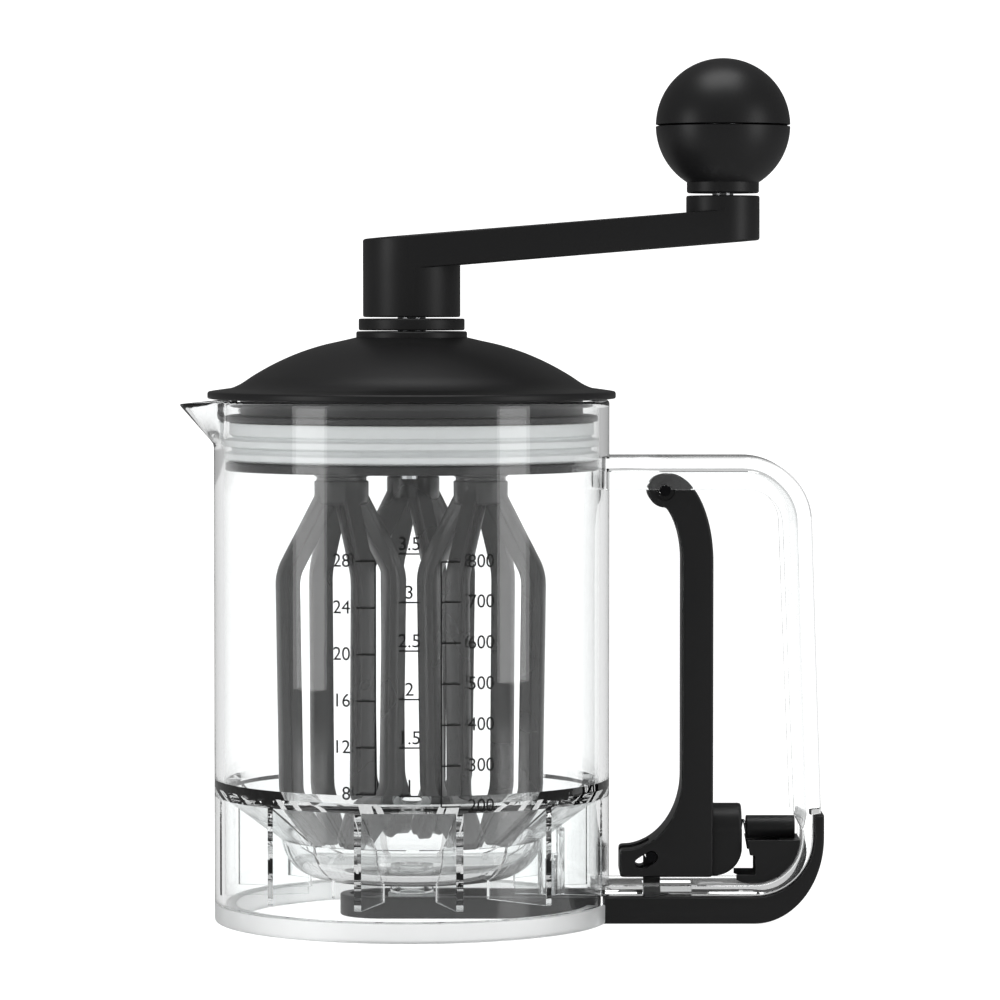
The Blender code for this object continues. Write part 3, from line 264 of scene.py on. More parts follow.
# %% Milky styrene, blasted
def milky_styrene():
    made, tree, output, place = new_material("milky_styrene_blasted")
    grit = node(tree, "ShaderNodeTexNoise", None,
                {"Scale": per_mm(0.5), "Detail": 2.0}, {"Vector": place})
    bump = node(tree, "ShaderNodeBump", None, {"Strength": 0.15, "Distance": 0.00004},
                {"Height": grit.outputs["Fac"]})
    skin = node(tree, "ShaderNodeBsdfPrincipled", None,
                {"Base Color": linear("#F1F2F2"), "Roughness": 0.32, "IOR": 1.57,
                 "Transmission Weight": 0.75},
                {"Normal": bump.outputs["Normal"]})
    through = node(tree, "ShaderNodeBsdfTransparent", None, {"Color": linear("#C8C9C9")})
    rays = node(tree, "ShaderNodeLightPath")
    mix = node(tree, "ShaderNodeMixShader", None, None,
               {0: rays.outputs["Is Shadow Ray"], 1: skin.outputs[0], 2: through.outputs[0]})
    tree.links.new(mix.outputs[0], output.inputs["Surface"])
    return made


MILKY = milky_styrene()
print("made", MILKY.name)

# %% [markdown]
# The lid, crank, knob, lever and bracket are black ABS from a spark-eroded mould. The eye gets a
# soft, wide highlight with a faint grain in it, no mirror. The real grain is near 0.1 mm; it is
# drawn at 0.35 mm so that the render can show it. Broad patches shift the gloss a little, as
# handling does.


# %% Black ABS, spark-eroded satin
def satin_abs(name, shade, roughness, grain_mm, depth):
    made, tree, output, place = new_material(name)
    grain = node(tree, "ShaderNodeTexNoise", None,
                 {"Scale": per_mm(grain_mm), "Detail": 3.0, "Roughness": 0.6}, {"Vector": place})
    patch = node(tree, "ShaderNodeTexNoise", None,
                 {"Scale": per_mm(30.0), "Detail": 2.0}, {"Vector": place})
    gloss = node(tree, "ShaderNodeMapRange", None,
                 {"From Min": 0.3, "From Max": 0.7, "To Min": roughness - 0.03, "To Max": roughness + 0.04},
                 {"Value": patch.outputs["Fac"]})
    tone = node(tree, "ShaderNodeMapRange", None,
                {"From Min": 0.3, "From Max": 0.7, "To Min": 0.9, "To Max": 1.12},
                {"Value": grain.outputs["Fac"]})
    colour = node(tree, "ShaderNodeVectorMath", {"operation": "SCALE"},
                  {0: linear(shade)[:3]}, {"Scale": tone.outputs[0]})
    bump = node(tree, "ShaderNodeBump", None, {"Strength": 0.35, "Distance": depth},
                {"Height": grain.outputs["Fac"]})
    skin = node(tree, "ShaderNodeBsdfPrincipled", None, {"IOR": 1.5},
                {"Base Color": colour.outputs[0], "Roughness": gloss.outputs[0],
                 "Normal": bump.outputs["Normal"]})
    tree.links.new(skin.outputs[0], output.inputs["Surface"])
    return made


ABS = satin_abs("black_abs_spark_eroded", "#121213", 0.40, 0.35, 0.00003)
NYLON = satin_abs("black_nylon_moulded", "#141414", 0.28, 2.5, 0.000008)
print("made", ABS.name, NYLON.name)

# %% [markdown]
# The lid's seal is white silicone rubber. It is cloudy right through, so it looks soft and bright
# at its thin lips and greyer where black plastic lies behind it. Scattering under the skin gives
# that, with a satin surface.


# %% Silicone rubber, compression moulded
def silicone():
    made, tree, output, place = new_material("silicone_rubber_moulded")
    cloud = node(tree, "ShaderNodeTexNoise", None,
                 {"Scale": per_mm(6.0), "Detail": 3.0}, {"Vector": place})
    tone = node(tree, "ShaderNodeMapRange", None, {"To Min": 0.94, "To Max": 1.04},
                {"Value": cloud.outputs["Fac"]})
    colour = node(tree, "ShaderNodeVectorMath", {"operation": "SCALE"},
                  {0: linear("#E8EAEA")[:3]}, {"Scale": tone.outputs[0]})
    bump = node(tree, "ShaderNodeBump", None, {"Strength": 0.1, "Distance": 0.00005},
                {"Height": cloud.outputs["Fac"]})
    skin = node(tree, "ShaderNodeBsdfPrincipled", None,
                {"Roughness": 0.4, "IOR": 1.41, "Subsurface Weight": 0.35,
                 "Subsurface Radius": (0.002, 0.002, 0.002), "Subsurface Scale": 1.0},
                {"Base Color": colour.outputs[0], "Normal": bump.outputs["Normal"]})
    tree.links.new(skin.outputs[0], output.inputs["Surface"])
    return made


SILICONE = silicone()
print("made", SILICONE.name)

# %% [markdown]
# Screws, shafts and the spring are bright steel, turned or drawn; the lever's and the slide's pins
# are blackened. Fine rings round the work are what a lathe leaves, so the roughness follows a wave
# along the part. The gears are milled acetal, waxy and off-white.


# %% Turned steel and moulded acetal
def turned_steel(name, colour, smoothest, roughest):
    made, tree, output, place = new_material(name)
    rings = node(tree, "ShaderNodeTexWave", {"wave_type": "BANDS", "bands_direction": "Z"},
                 {"Scale": per_mm(0.4) / 20.0, "Distortion": 1.5, "Detail": 2.0}, {"Vector": place})
    gloss = node(tree, "ShaderNodeMapRange", None, {"To Min": smoothest, "To Max": roughest},
                 {"Value": rings.outputs["Fac"]})
    skin = node(tree, "ShaderNodeBsdfPrincipled", None,
                {"Base Color": linear(colour), "Metallic": 1.0}, {"Roughness": gloss.outputs[0]})
    tree.links.new(skin.outputs[0], output.inputs["Surface"])
    return made


def acetal():
    made, tree, output, place = new_material("acetal_moulded")
    cloud = node(tree, "ShaderNodeTexNoise", None,
                 {"Scale": per_mm(3.0), "Detail": 2.0}, {"Vector": place})
    gloss = node(tree, "ShaderNodeMapRange", None, {"To Min": 0.3, "To Max": 0.42},
                 {"Value": cloud.outputs["Fac"]})
    skin = node(tree, "ShaderNodeBsdfPrincipled", None,
                {"Base Color": linear("#E6E3DA"), "IOR": 1.48, "Subsurface Weight": 0.1,
                 "Subsurface Radius": (0.001, 0.001, 0.001), "Subsurface Scale": 1.0},
                {"Roughness": gloss.outputs[0]})
    tree.links.new(skin.outputs[0], output.inputs["Surface"])
    return made


def pad_ink():
    made, tree, output, place = new_material("pad_printing_ink")
    speck = node(tree, "ShaderNodeTexNoise", None,
                 {"Scale": per_mm(0.6), "Detail": 2.0}, {"Vector": place})
    gloss = node(tree, "ShaderNodeMapRange", None, {"To Min": 0.45, "To Max": 0.65},
                 {"Value": speck.outputs["Fac"]})
    skin = node(tree, "ShaderNodeBsdfPrincipled", None, {"Base Color": linear("#0C0C0C")},
                {"Roughness": gloss.outputs[0]})
    tree.links.new(skin.outputs[0], output.inputs["Surface"])
    return made


STEEL = turned_steel("stainless_steel_turned", "#C3C4C6", 0.2, 0.34)
BLACK_STEEL = turned_steel("blackened_steel_turned", "#2A2A2C", 0.4, 0.55)
ACETAL, INK = acetal(), pad_ink()
print("made", STEEL.name, BLACK_STEEL.name, ACETAL.name, INK.name)


def dress(piece, body, finish, slot, *stands_for):
    """Give a piece its material and its body, and hide the CAD nodes it stands for; slot is not used."""
    piece.data.materials.clear()
    piece.data.materials.append(finish)
    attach(piece, body)
    if stands_for:
        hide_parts(*stands_for)
    return count(piece)


# %% [markdown]
# The jug is one turned shell: the wall, a funnel that falls to a round bowl, the bowl's outlet
# nozzle, and a skirt that carries the wall down to the worktop. The pouring lip is the same wall
# drawn out: its radius grows towards one direction and towards the rim. Twelve thin ribs stand
# between skirt and funnel. The handle is a channel open to the hand, and is part of the same
# moulding, so it is welded to the jug here: two clear pieces that only touched would show a seam
# that the real one doesn't have.

# %% Jug sizes
JUG_R, WALL, RIM_Z, SKIRT_WALL = 56.0, 2.8, 147.6, 3.0
LIP_REACH, LIP_DROP, LIP_FOOT_Z, LIP_HALF = 10.4, 1.2, 135.0, math.radians(19.0)
CONE_TOP_Z, CONE_FOOT_Z, BOWL_R, CORNER_R = 39.0, 25.0, 35.4, 10.0
FLOOR_WALL, FLOOR_FALL, OUTLET_R, NOZZLE_WALL, NOZZLE_LENGTH = 2.6, 0.8, 3.6, 2.6, 3.6
FOOT_H, FOOT_WALL, GAP, SCREW_BORE_R = 5.5, 6.0, 0.3, 1.5
BRACKET_HALF_W, BRACKET_H = 12.0, 7.6
RIBS, RIB_THICK, RIB_INNER_R = 12, 2.0, 30.0
SLOPE = math.atan2(CONE_TOP_Z - CONE_FOOT_Z, JUG_R - WALL - BOWL_R)


# %% Funnel and jug outline
def bowl_curve(depth, steps=12):
    """Bowl's corner arc, depth under the wetted surface, from where it meets the funnel's slope."""
    normal = SLOPE - math.pi / 2
    share = (CORNER_R * math.cos(normal) + depth) / (CORNER_R + depth)
    start = math.degrees(normal + math.acos(min(1.0, share)))
    return arc((BOWL_R - CORNER_R, CONE_FOOT_Z), CORNER_R + depth, start, -90.0, steps)


def cone_height(radius, depth):
    """Funnel's height at a radius, depth under its wetted surface."""
    r, z = bowl_curve(depth)[0]
    return z + (radius - r) * math.tan(SLOPE)


def jug_outline():
    """Outside, foot, underside, nozzle and inside of the jug as one closed outline."""
    rows = np.linspace(RIM_Z, LIP_FOOT_Z - 3.0, 16)[1:]
    skirt_r, inner_r = JUG_R - SKIRT_WALL, JUG_R - WALL
    foot_z, floor_z = FOOT_H + GAP, CONE_FOOT_Z - CORNER_R
    under = floor_z - FLOOR_FALL - FLOOR_WALL
    nozzle_r = OUTLET_R + NOZZLE_WALL
    parts = [
        arc((JUG_R - 0.9, RIM_Z - 0.9), 0.9, 90.0, 0.0, 4),
        np.stack([np.full(15, JUG_R), rows - 0.9], -1),
        [(JUG_R, foot_z), (skirt_r, foot_z), (skirt_r, cone_height(skirt_r, FLOOR_WALL))],
        bowl_curve(FLOOR_WALL),
        [(nozzle_r, under), (nozzle_r, under - NOZZLE_LENGTH), (OUTLET_R, under - NOZZLE_LENGTH)],
        [(OUTLET_R, floor_z - FLOOR_FALL)],
        bowl_curve(0.0)[::-1],
        [(inner_r - 1.2, CONE_TOP_Z - 1.2 * math.tan(SLOPE)), (inner_r, CONE_TOP_Z + 1.4)],
        np.stack([np.full(15, inner_r), rows[::-1] - 0.9], -1),
        arc((inner_r + 0.9, RIM_Z - 0.9), 0.9, 180.0, 90.0, 4),
    ]
    return np.concatenate([np.asarray(p, float) for p in parts])


def jug_shell():
    """Turned outline whose radius grows by 1.06 reach * rise * side ** 1.35 towards the lip."""
    outline = jug_outline()
    a = np.linspace(0.0, math.tau, 288, endpoint=False)[:, None]
    r, z = outline[None, :, 0], outline[None, :, 1] + 0.0 * a
    away = np.abs(a - math.pi) / LIP_HALF
    side = np.clip(1.0 - np.sqrt(away ** 2 + 0.004), 0.0, 1.0)
    rise = np.clip((z - LIP_FOOT_Z) / (RIM_Z - LIP_FOOT_Z), 0.0, 1.0)
    r = r + LIP_REACH * 1.06 * rise * side ** 1.35
    z = z - LIP_DROP * rise * side
    return put("jug", np.stack([r * np.cos(a), r * np.sin(a), z], -1), wrap_rows=True, sharp=24.0)


# %% [markdown]
# The handle's outline is a path of (place, outward direction) with a channel section carried along
# it. The section's flanges shrink where the black bracket takes over at the foot.

# %% Handle
HALF_W, SIDE = 12.0, 2.5
FOOT_CORNER_X, FOOT_CORNER_Z, FOOT_CORNER_R = 96.8, 24.4, 16.5
TOP_CORNER_X, TOP_CORNER_Z, TOP_CORNER_R = 94.0, 113.0, 18.8
HANDLE_START_X, TOP_WEB, FOOT_WEB, FOOT_DEPTH = 52.0, 4.0, 2.7, 3.1


def handle_path():
    """Rows of x, z, outward angle, web thickness, total depth."""
    rows = [(HANDLE_START_X, 131.8, 90.0, TOP_WEB, 9.3)]
    for a in np.linspace(90.0, 0.0, 25):
        rows.append((TOP_CORNER_X + TOP_CORNER_R * math.cos(math.radians(a)),
                     TOP_CORNER_Z + TOP_CORNER_R * math.sin(math.radians(a)), a,
                     TOP_WEB, 9.3 - (90.0 - a) / 90.0))
    rows += [(115.5, 31.3, 0.0, TOP_WEB, 7.7), (113.3, 30.9, 0.0, 1.8, 5.5),
             (113.3, 26.4, 0.0, FOOT_WEB, FOOT_DEPTH)]
    for a in np.linspace(0.0, -90.0, 25):
        rows.append((FOOT_CORNER_X + FOOT_CORNER_R * math.cos(math.radians(a)),
                     FOOT_CORNER_Z + FOOT_CORNER_R * math.sin(math.radians(a)), a, FOOT_WEB, FOOT_DEPTH))
    rows.append((HANDLE_START_X, 7.9, -90.0, FOOT_WEB, FOOT_DEPTH))
    return np.array(rows)


def handle_sweep():
    """Section point (depth, y) goes to path point minus depth times the outward direction."""
    rings = []
    for x, z, angle, web, depth in handle_path():
        s = HALF_W - SIDE
        section = [(0, -HALF_W), (0, HALF_W), (depth, HALF_W), (depth, s), (web, s), (web, -s), (depth, -s),
                   (depth, -HALF_W)]
        section = rounded(section, [1.1, 1.1, 0.7, 0.7, 0.4, 0.4, 0.7, 0.7], 3)
        out = np.array([math.cos(math.radians(angle)), math.sin(math.radians(angle))])
        rings.append(np.stack([x - section[:, 0] * out[0], section[:, 1], z - section[:, 0] * out[1]], -1))
    return put("handle", np.stack(rings), sharp=28.0)


def block(x0, x1, y0, y1, z0, z1):
    """Six-sided cutting tool between two corners."""
    ring = np.array([(x0, y0), (x1, y0), (x1, y1), (x0, y1)])
    rows = [np.column_stack([ring, np.full(4, z)]) for z in (z0, z1)]
    return put("tool", np.stack(rows))


def peg(radius, z0, z1, centre=(0.0, 0.0), along="Z", segments=48):
    """Round cutting tool or pin."""
    return turned("tool", [(0.0, z1), (radius, z1), (radius, z0), (0.0, z0)], centre, segments, along)


def rib(index):
    """Radial rib: its crest follows the middle of the funnel's and bowl's thickness."""
    mid, outer, foot = FLOOR_WALL / 2, JUG_R - SKIRT_WALL / 2, BRACKET_H + 0.9
    crest = bowl_curve(mid)
    crest = crest[crest[:, 0] > RIB_INNER_R]
    outline = np.concatenate([[(outer, foot), (outer, cone_height(outer, mid))], crest,
                              [(crest[-1, 0], foot)]])
    a = math.tau * (index + 0.5) / RIBS
    rows = []
    for y in (-RIB_THICK / 2, RIB_THICK / 2):
        x, z = outline[:, 0], outline[:, 1]
        rows.append(np.stack([x * math.cos(a) - y * math.sin(a), x * math.sin(a) + y * math.cos(a), z], -1))
    return put("tool", np.stack(rows))


SCREW_X, SCREW_Y, PIVOT_X, PIVOT_Z = 40.0, 7.4, 71.5, 122.3
jug = jug_shell()
handle = handle_sweep()
carve(handle, [peg(JUG_R - WALL / 2, -10.0, RIM_Z, segments=144)], "DIFFERENCE")
carve(jug, [handle] + [rib(i) for i in range(RIBS)], "UNION")
boss_top = cone_height(SCREW_X, FLOOR_WALL / 2)
carve(jug, [peg(3.2, BRACKET_H + 0.6, boss_top, (SCREW_X, y), segments=32) for y in (-SCREW_Y, SCREW_Y)],
      "UNION")
wide = BRACKET_HALF_W + GAP
cuts = [block(JUG_R * 0.7, JUG_R * 1.02, -wide, wide, 0.0, BRACKET_H + GAP),
        block(65.4, 79.2, -3.1, 3.1, 0.0, 12.9), peg(1.65, -24.0, 24.0, (PIVOT_X, PIVOT_Z), "Y")]
cuts += [peg(SCREW_BORE_R, 0.0, 18.4, (SCREW_X, y), segments=24) for y in (-SCREW_Y, SCREW_Y)]
carve(jug, cuts, "DIFFERENCE", sharp=24.0)
dress(jug, "jug", CLEAR, "clear_plastic", "jug_body", "handle_loop")

# %% [markdown]
# The foot ring is a plain turned band with soft corners, open where the black bar comes through.

# %% Foot ring
ring = turned("foot_band", rounded([(JUG_R - FOOT_WALL, FOOT_H), (JUG_R, FOOT_H), (JUG_R, 0.0),
                                    (JUG_R - FOOT_WALL, 0.0)], [0.3, 0.3, 0.9, 0.5]), segments=256)
carve(ring, [block(JUG_R * 0.7, JUG_R * 1.1, -wide, wide, -5.0, 10.0)], "DIFFERENCE")
dress(ring, "jug", MILKY, "frosted_plastic", "foot_ring")

# %% [markdown]
# The bracket is the black bar that shows outside the jug and the trough that runs under the bowl.
# Its side outline is worked out from the handle's own corner, so the clear handle nests in it.

# %% Bracket
BRACKET_END_X, BRACKET_TOP_Z, TROUGH_WALL = 116.4, 30.6, 2.7
outer_r = BRACKET_END_X - FOOT_CORNER_X
swing = np.linspace(math.pi / 2, 0.0, 33)
outer = np.stack([FOOT_CORNER_X + outer_r * np.cos(swing), FOOT_CORNER_Z * (1 - np.sin(swing))], -1)
inner = arc((FOOT_CORNER_X, FOOT_CORNER_Z), FOOT_CORNER_R + GAP, 0.0, -90.0, 24)
STEP_X = JUG_R - FOOT_WALL - 0.8
tip = [(BRACKET_END_X, BRACKET_TOP_Z), (FOOT_CORNER_X + FOOT_CORNER_R + GAP, BRACKET_TOP_Z)]
side = np.concatenate([[(STEP_X, 0.0)], outer, tip, inner, [(STEP_X, BRACKET_H)]])
bracket = plate("bracket", side, -BRACKET_HALF_W, BRACKET_HALF_W, edge=0.7)


def nosed_bar(x0, x1, half_w, nose_r):
    """Plan outline of a bar with a round nose at its low end."""
    share = min(1.0, half_w / nose_r)
    open_a = math.degrees(math.asin(share))
    nose = arc((x0 + nose_r, 0.0), nose_r, open_a, 360.0 - open_a, 32)
    return np.concatenate([nose, [(x1, -half_w), (x1, half_w)]])


under = plate("tool", nosed_bar(-20.4, STEP_X + 3.0, BRACKET_HALF_W, BRACKET_HALF_W), 1.6, BRACKET_H, 0.4,
              along="Z")
carve(bracket, [under], "UNION")
trough_w = BRACKET_HALF_W - TROUGH_WALL
trough = plate("tool", nosed_bar(-17.7, 80.3, trough_w, trough_w), 3.6, 12.0, 0.3, along="Z")
drills = [peg(5.2, 0.0, 8.0)]
drills += [peg(SCREW_BORE_R, 0.0, 8.0, (SCREW_X, y), segments=24) for y in (-SCREW_Y, SCREW_Y)]
carve(bracket, [trough] + drills, "DIFFERENCE")
dress(bracket, "jug", ABS, "black_plastic", "base_bracket")

# %% [markdown]
# The lever's side outline is two quarter ellipses on each edge: the neck that curves up to the
# pivot's boss, and the toe that flares out to the valve. The spring's cup and the heel under it
# are welded on, then the cup is bored and the toe is forked.

# %% Lever
CUP_Z, CUP_R, CUP_END, LEVER_HALF = 26.2, 6.9, 93.5, 9.2


def ellipse(centre, reach, start, end, steps):
    """Points centre + (a cos t, b sin t)."""
    t = np.radians(np.linspace(start, end, steps + 1))
    return np.stack([centre[0] + reach[0] * np.cos(t), centre[1] + reach[1] * np.sin(t)], -1)


boss = arc((PIVOT_X, PIVOT_Z), 4.9, 268.0, 80.0, 32)
neck_back = ellipse((72.5, 102.0), (12.7, 25.2), 90.0, 0.0, 24)[1:]
foot_line = rounded([(85.2, 20.0), (85.2, 12.9), (58.8, 12.9), (58.8, 20.6), (61.5, 20.72)],
                    [0.1, 1.2, 1.2, 1.2, 0.1])[4:-4]
flare = ellipse((59.8, 41.0), (16.5, 20.4), 278.0, 360.0, 24)
neck_front = ellipse((67.58, 102.0), (8.72, 17.36), 0.0, 61.0, 20)
lever_side = np.concatenate([boss, neck_back, foot_line, flare, neck_front])
lever = plate("squeeze_lever", lever_side, -LEVER_HALF, LEVER_HALF, edge=0.7)
heel = np.concatenate([[(81.0, CUP_Z), (81.0, 13.0)], arc((CUP_END - 8.0, 21.0), 8.0, -90.0, 0.0, 12),
                       [(CUP_END, CUP_Z)]])
heel_piece = plate("tool", heel, -CUP_R + 0.02, CUP_R - 0.02, edge=0.8)
cup = turned("tool", rounded([(0.0, 93.45), (CUP_R, 93.45), (CUP_R, 82.0), (0.0, 82.0)],
                             [0.0, 1.0, 0.2, 0.0]), (0.0, CUP_Z), 96, "X")
carve(lever, [heel_piece, cup], "UNION")
slot_tilt = math.degrees(math.atan2(2.0, 3.0))
slot = np.concatenate([arc((67.8, 18.6), 1.8, slot_tilt - 90.0, slot_tilt + 90.0, 12),
                       arc((64.8, 16.6), 1.8, slot_tilt + 90.0, slot_tilt + 270.0, 12)])
lever_cuts = [peg(5.8, 86.4, 100.0, (0.0, CUP_Z), "X"), block(57.0, 72.3, -3.1, 3.1, 0.0, 22.8),
              plate("tool", slot, -20.0, 20.0, edge=0.1), peg(1.65, -20.0, 20.0, (PIVOT_X, PIVOT_Z), "Y"),
              peg(2.9, 8.6, 12.0, (PIVOT_X, PIVOT_Z), "Y"), peg(2.9, -12.0, -8.6, (PIVOT_X, PIVOT_Z), "Y")]
carve(lever, lever_cuts, "DIFFERENCE")
dress(lever, "lever", ABS, "black_plastic", "lever")

# %% [markdown]
# Inside the handle's lower corner sits the spring's guide: two cheeks, a block and a tube that
# reaches into the lever's cup. The spring runs in the tube. It is a round wire on a helix.

# %% Spring guide and spring
guide_r = FOOT_CORNER_R - 2.7 - 0.4 - GAP
web_top = CUP_Z - 3.4 + 0.6
start = math.degrees(math.asin((web_top - FOOT_CORNER_Z) / guide_r))
floor_z = FOOT_CORNER_Z - guide_r
cheek = np.concatenate([arc((FOOT_CORNER_X, FOOT_CORNER_Z), guide_r, start, -90.0, 24),
                        [(93.8, floor_z), (91.8, floor_z + 0.8), (91.8, floor_z + 2.2), (97.3, floor_z + 2.2),
                         (97.3, web_top - 4.5), (95.6, web_top - 4.3), (94.8, web_top)]])
guide = plate("guide", cheek, -LEVER_HALF, LEVER_HALF, edge=0.3)
carve(guide, [block(50.0, 104.2, -7.7, 7.7, 0.0, 50.0)], "DIFFERENCE")
tube_end = FOOT_CORNER_X + math.sqrt(guide_r ** 2 - (CUP_Z + 3.4 - FOOT_CORNER_Z) ** 2) - 0.2
tube = turned("tool", rounded([(0.0, tube_end), (3.4, tube_end), (3.4, 94.8), (0.0, 94.8)],
                              [0.0, 0.2, 0.4, 0.0]), (0.0, CUP_Z), 64, "X")
carve(guide, [tube], "UNION")
carve(guide, [peg(2.7, 80.0, tube_end - 1.5, (0.0, CUP_Z), "X")], "DIFFERENCE")
dress(guide, "jug", ABS, "black_plastic", "spring_guide")


def helix(name, x0, x1, radius, wire, turns):
    """Wire circle carried on (x0 + p s, R cos s, R sin s), its plane square to the helix."""
    s = np.linspace(0.0, math.tau * turns, 36 * turns + 1)[:, None]
    w = np.linspace(0.0, math.tau, 12, endpoint=False)[None, :]
    lead = math.atan2(x1 - x0, math.tau * radius * turns)
    along = x0 + (x1 - x0) * s / s.max()
    out = radius + wire * np.cos(w)
    lift = wire * np.sin(w)
    x = along + lift * math.cos(lead)
    y = out * np.cos(s) + lift * math.sin(lead) * np.sin(s)
    z = out * np.sin(s) - lift * math.sin(lead) * np.cos(s)
    return put(name, np.stack([x, y, z + CUP_Z], -1))


spring_low, spring_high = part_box("lever_spring")
spring_end = spring_high.x / MM - AXIS_X
spring = helix("return_spring", spring_low.x / MM - AXIS_X + 0.4, spring_end - 0.4, 2.0, 0.35, 9)
dress(spring, "jug", STEEL, "steel", "lever_spring")
spring.parent = None
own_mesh(spring)

# %% [markdown]
# The lid's dome is a turned shell. Its outline is a smooth curve through the heights a gauge would
# read across it, from the neck, over the shoulder, to the thin rolled brim.

# %% Lid
DOME_R = np.array([15.7, 19.1, 25.6, 32.8, 38.8, 44.7, 48.9, 50.9, 53.5, 56.6])
DOME_Z = np.array([165.3, 164.5, 163.0, 160.6, 157.9, 154.6, 151.9, 151.05, 150.65, 150.2])


def smooth_line(x, y, count_out):
    """Piecewise cubic through the points, each slope the mean of its two neighbours' chords."""
    slope = np.gradient(y, x)
    t = np.linspace(x[0], x[-1], count_out)
    k = np.clip(np.searchsorted(x, t) - 1, 0, len(x) - 2)
    h = x[k + 1] - x[k]
    s = (t - x[k]) / h
    value = ((2 * s ** 3 - 3 * s ** 2 + 1) * y[k] + (s ** 3 - 2 * s ** 2 + s) * h * slope[k]
             + (3 * s ** 2 - 2 * s ** 3) * y[k + 1] + (s ** 3 - s ** 2) * h * slope[k + 1])
    return np.stack([t, value], -1)


BRIM_R, BRIM_Z, DRIVE_BORE, LID_SKIRT_R = 57.8, 148.0, 4.15, 48.5
dome_top = smooth_line(DOME_R, DOME_Z, 48)
dome_under = smooth_line(DOME_R[:7], DOME_Z[:7] - 2.4, 24)
dome_under = dome_under[dome_under[:, 0] < LID_SKIRT_R - 3.2][::-1]
dome_outline = np.concatenate([
    [(DRIVE_BORE, 167.0)], arc((15.2, 166.5), 0.5, 90.0, 0.0, 4), dome_top,
    arc((BRIM_R - 0.8, 149.35), 0.8, 60.0, 0.0, 4), [(BRIM_R, 148.5)],
    arc((BRIM_R - 0.5, 148.5), 0.5, 0.0, -90.0, 4)[1:],
    [(LID_SKIRT_R, BRIM_Z), (LID_SKIRT_R, 143.7), (46.3, 143.7), (46.3, 148.6)], dome_under,
    [(7.5, 162.9), (7.5, 150.0), (DRIVE_BORE, 150.0)]])
dome = turned("dome", dome_outline, segments=256, sharp=28.0)
dress(dome, "lid", ABS, "black_plastic", "lid_dome")

# %% [markdown]
# Under the dome sits the gear housing, an inverted cup with a flange at its top. The cover plate
# closes it from below. Both are black, and their rims show through the clear wall above and below
# the seal.

# %% Gear housing and cover
FLANGE_R, HOUSING_R = 52.7, 49.0
housing = turned("housing", rounded([(DRIVE_BORE, 143.4), (FLANGE_R, 143.4), (FLANGE_R, 141.8),
                                     (HOUSING_R, 141.8), (HOUSING_R, 130.6), (46.8, 130.6), (46.8, 141.4),
                                     (DRIVE_BORE, 141.4)], [0.2, 0.4, 0.4, 0.2, 0.3, 0.3, 0.5, 0.2]),
                 segments=192)
POST_ANGLES, POST_ORBIT, POST_R = [270.0, 30.0, 150.0], 38.0, 3.2


def polar(radius, degrees):
    """(radius cos a, radius sin a)."""
    return radius * math.cos(math.radians(degrees)), radius * math.sin(math.radians(degrees))


posts = [polar(POST_ORBIT, a) for a in POST_ANGLES]
carve(housing, [peg(POST_R, 130.6, 141.9, post, segments=32) for post in posts], "UNION")
carve(housing, [peg(SCREW_BORE_R, 120.0, 136.5, post, segments=24) for post in posts], "DIFFERENCE")
dress(housing, "lid", ABS, "black_plastic", "gear_housing")

WHISK_AT = {"left": 210.0, "right": 330.0, "rear": 90.0}
ORBIT = 22.5
cover = turned("cover_plate", rounded([(0.0, 130.3), (FLANGE_R, 130.3), (FLANGE_R, 128.0), (0.0, 128.0)],
                                      [0.0, 0.5, 0.5, 0.0]), segments=192)
holes = [peg(2.95, 120.0, 140.0, polar(ORBIT, a)) for a in WHISK_AT.values()]
holes += [peg(SCREW_BORE_R, 120.0, 140.0, post, segments=24) for post in posts]
carve(cover, holes, "DIFFERENCE")
dress(cover, "lid", ABS, "black_plastic", "gear_cover")

# %% [markdown]
# The seal is a soft ring with a flat top band and two lips that press on the wall. Each lip is a
# small rounded tooth in the outline.

# %% Seal
SEAL_R, LIP_R = 51.6, 53.05
seal_outline = [(HOUSING_R + 0.3, 141.5), (SEAL_R, 141.5), (SEAL_R, 138.0), (SEAL_R - 0.7, 137.8),
                (SEAL_R - 0.7, 137.2), (LIP_R, 136.7), (LIP_R, 134.9), (SEAL_R - 0.7, 134.4),
                (SEAL_R - 0.7, 133.4), (LIP_R, 132.9), (LIP_R, 131.3), (SEAL_R - 0.4, 130.6),
                (HOUSING_R + 0.3, 130.6)]
seal = turned("seal_ring", rounded(seal_outline, 0.3, 3), segments=192)
dress(seal, "lid", SILICONE, "silicone", "lid_seal")

# %% [markdown]
# The crank is a hub, an arm that rises towards the knob and a boss. In plan the arm is the two
# circles' common outline. Its top and underside are two sloping planes, so each ring of the plate
# is simply sheared in height with x.

# %% Crank arm
HUB_R, KNOB_X, KNOB_BOSS_R = 13.8, 88.0, 10.4
UNDERSIDE_Z, UNDERSIDE_RISE, TOP_Z, TOP_RISE = 184.6, 0.0827, 194.2, 0.0812


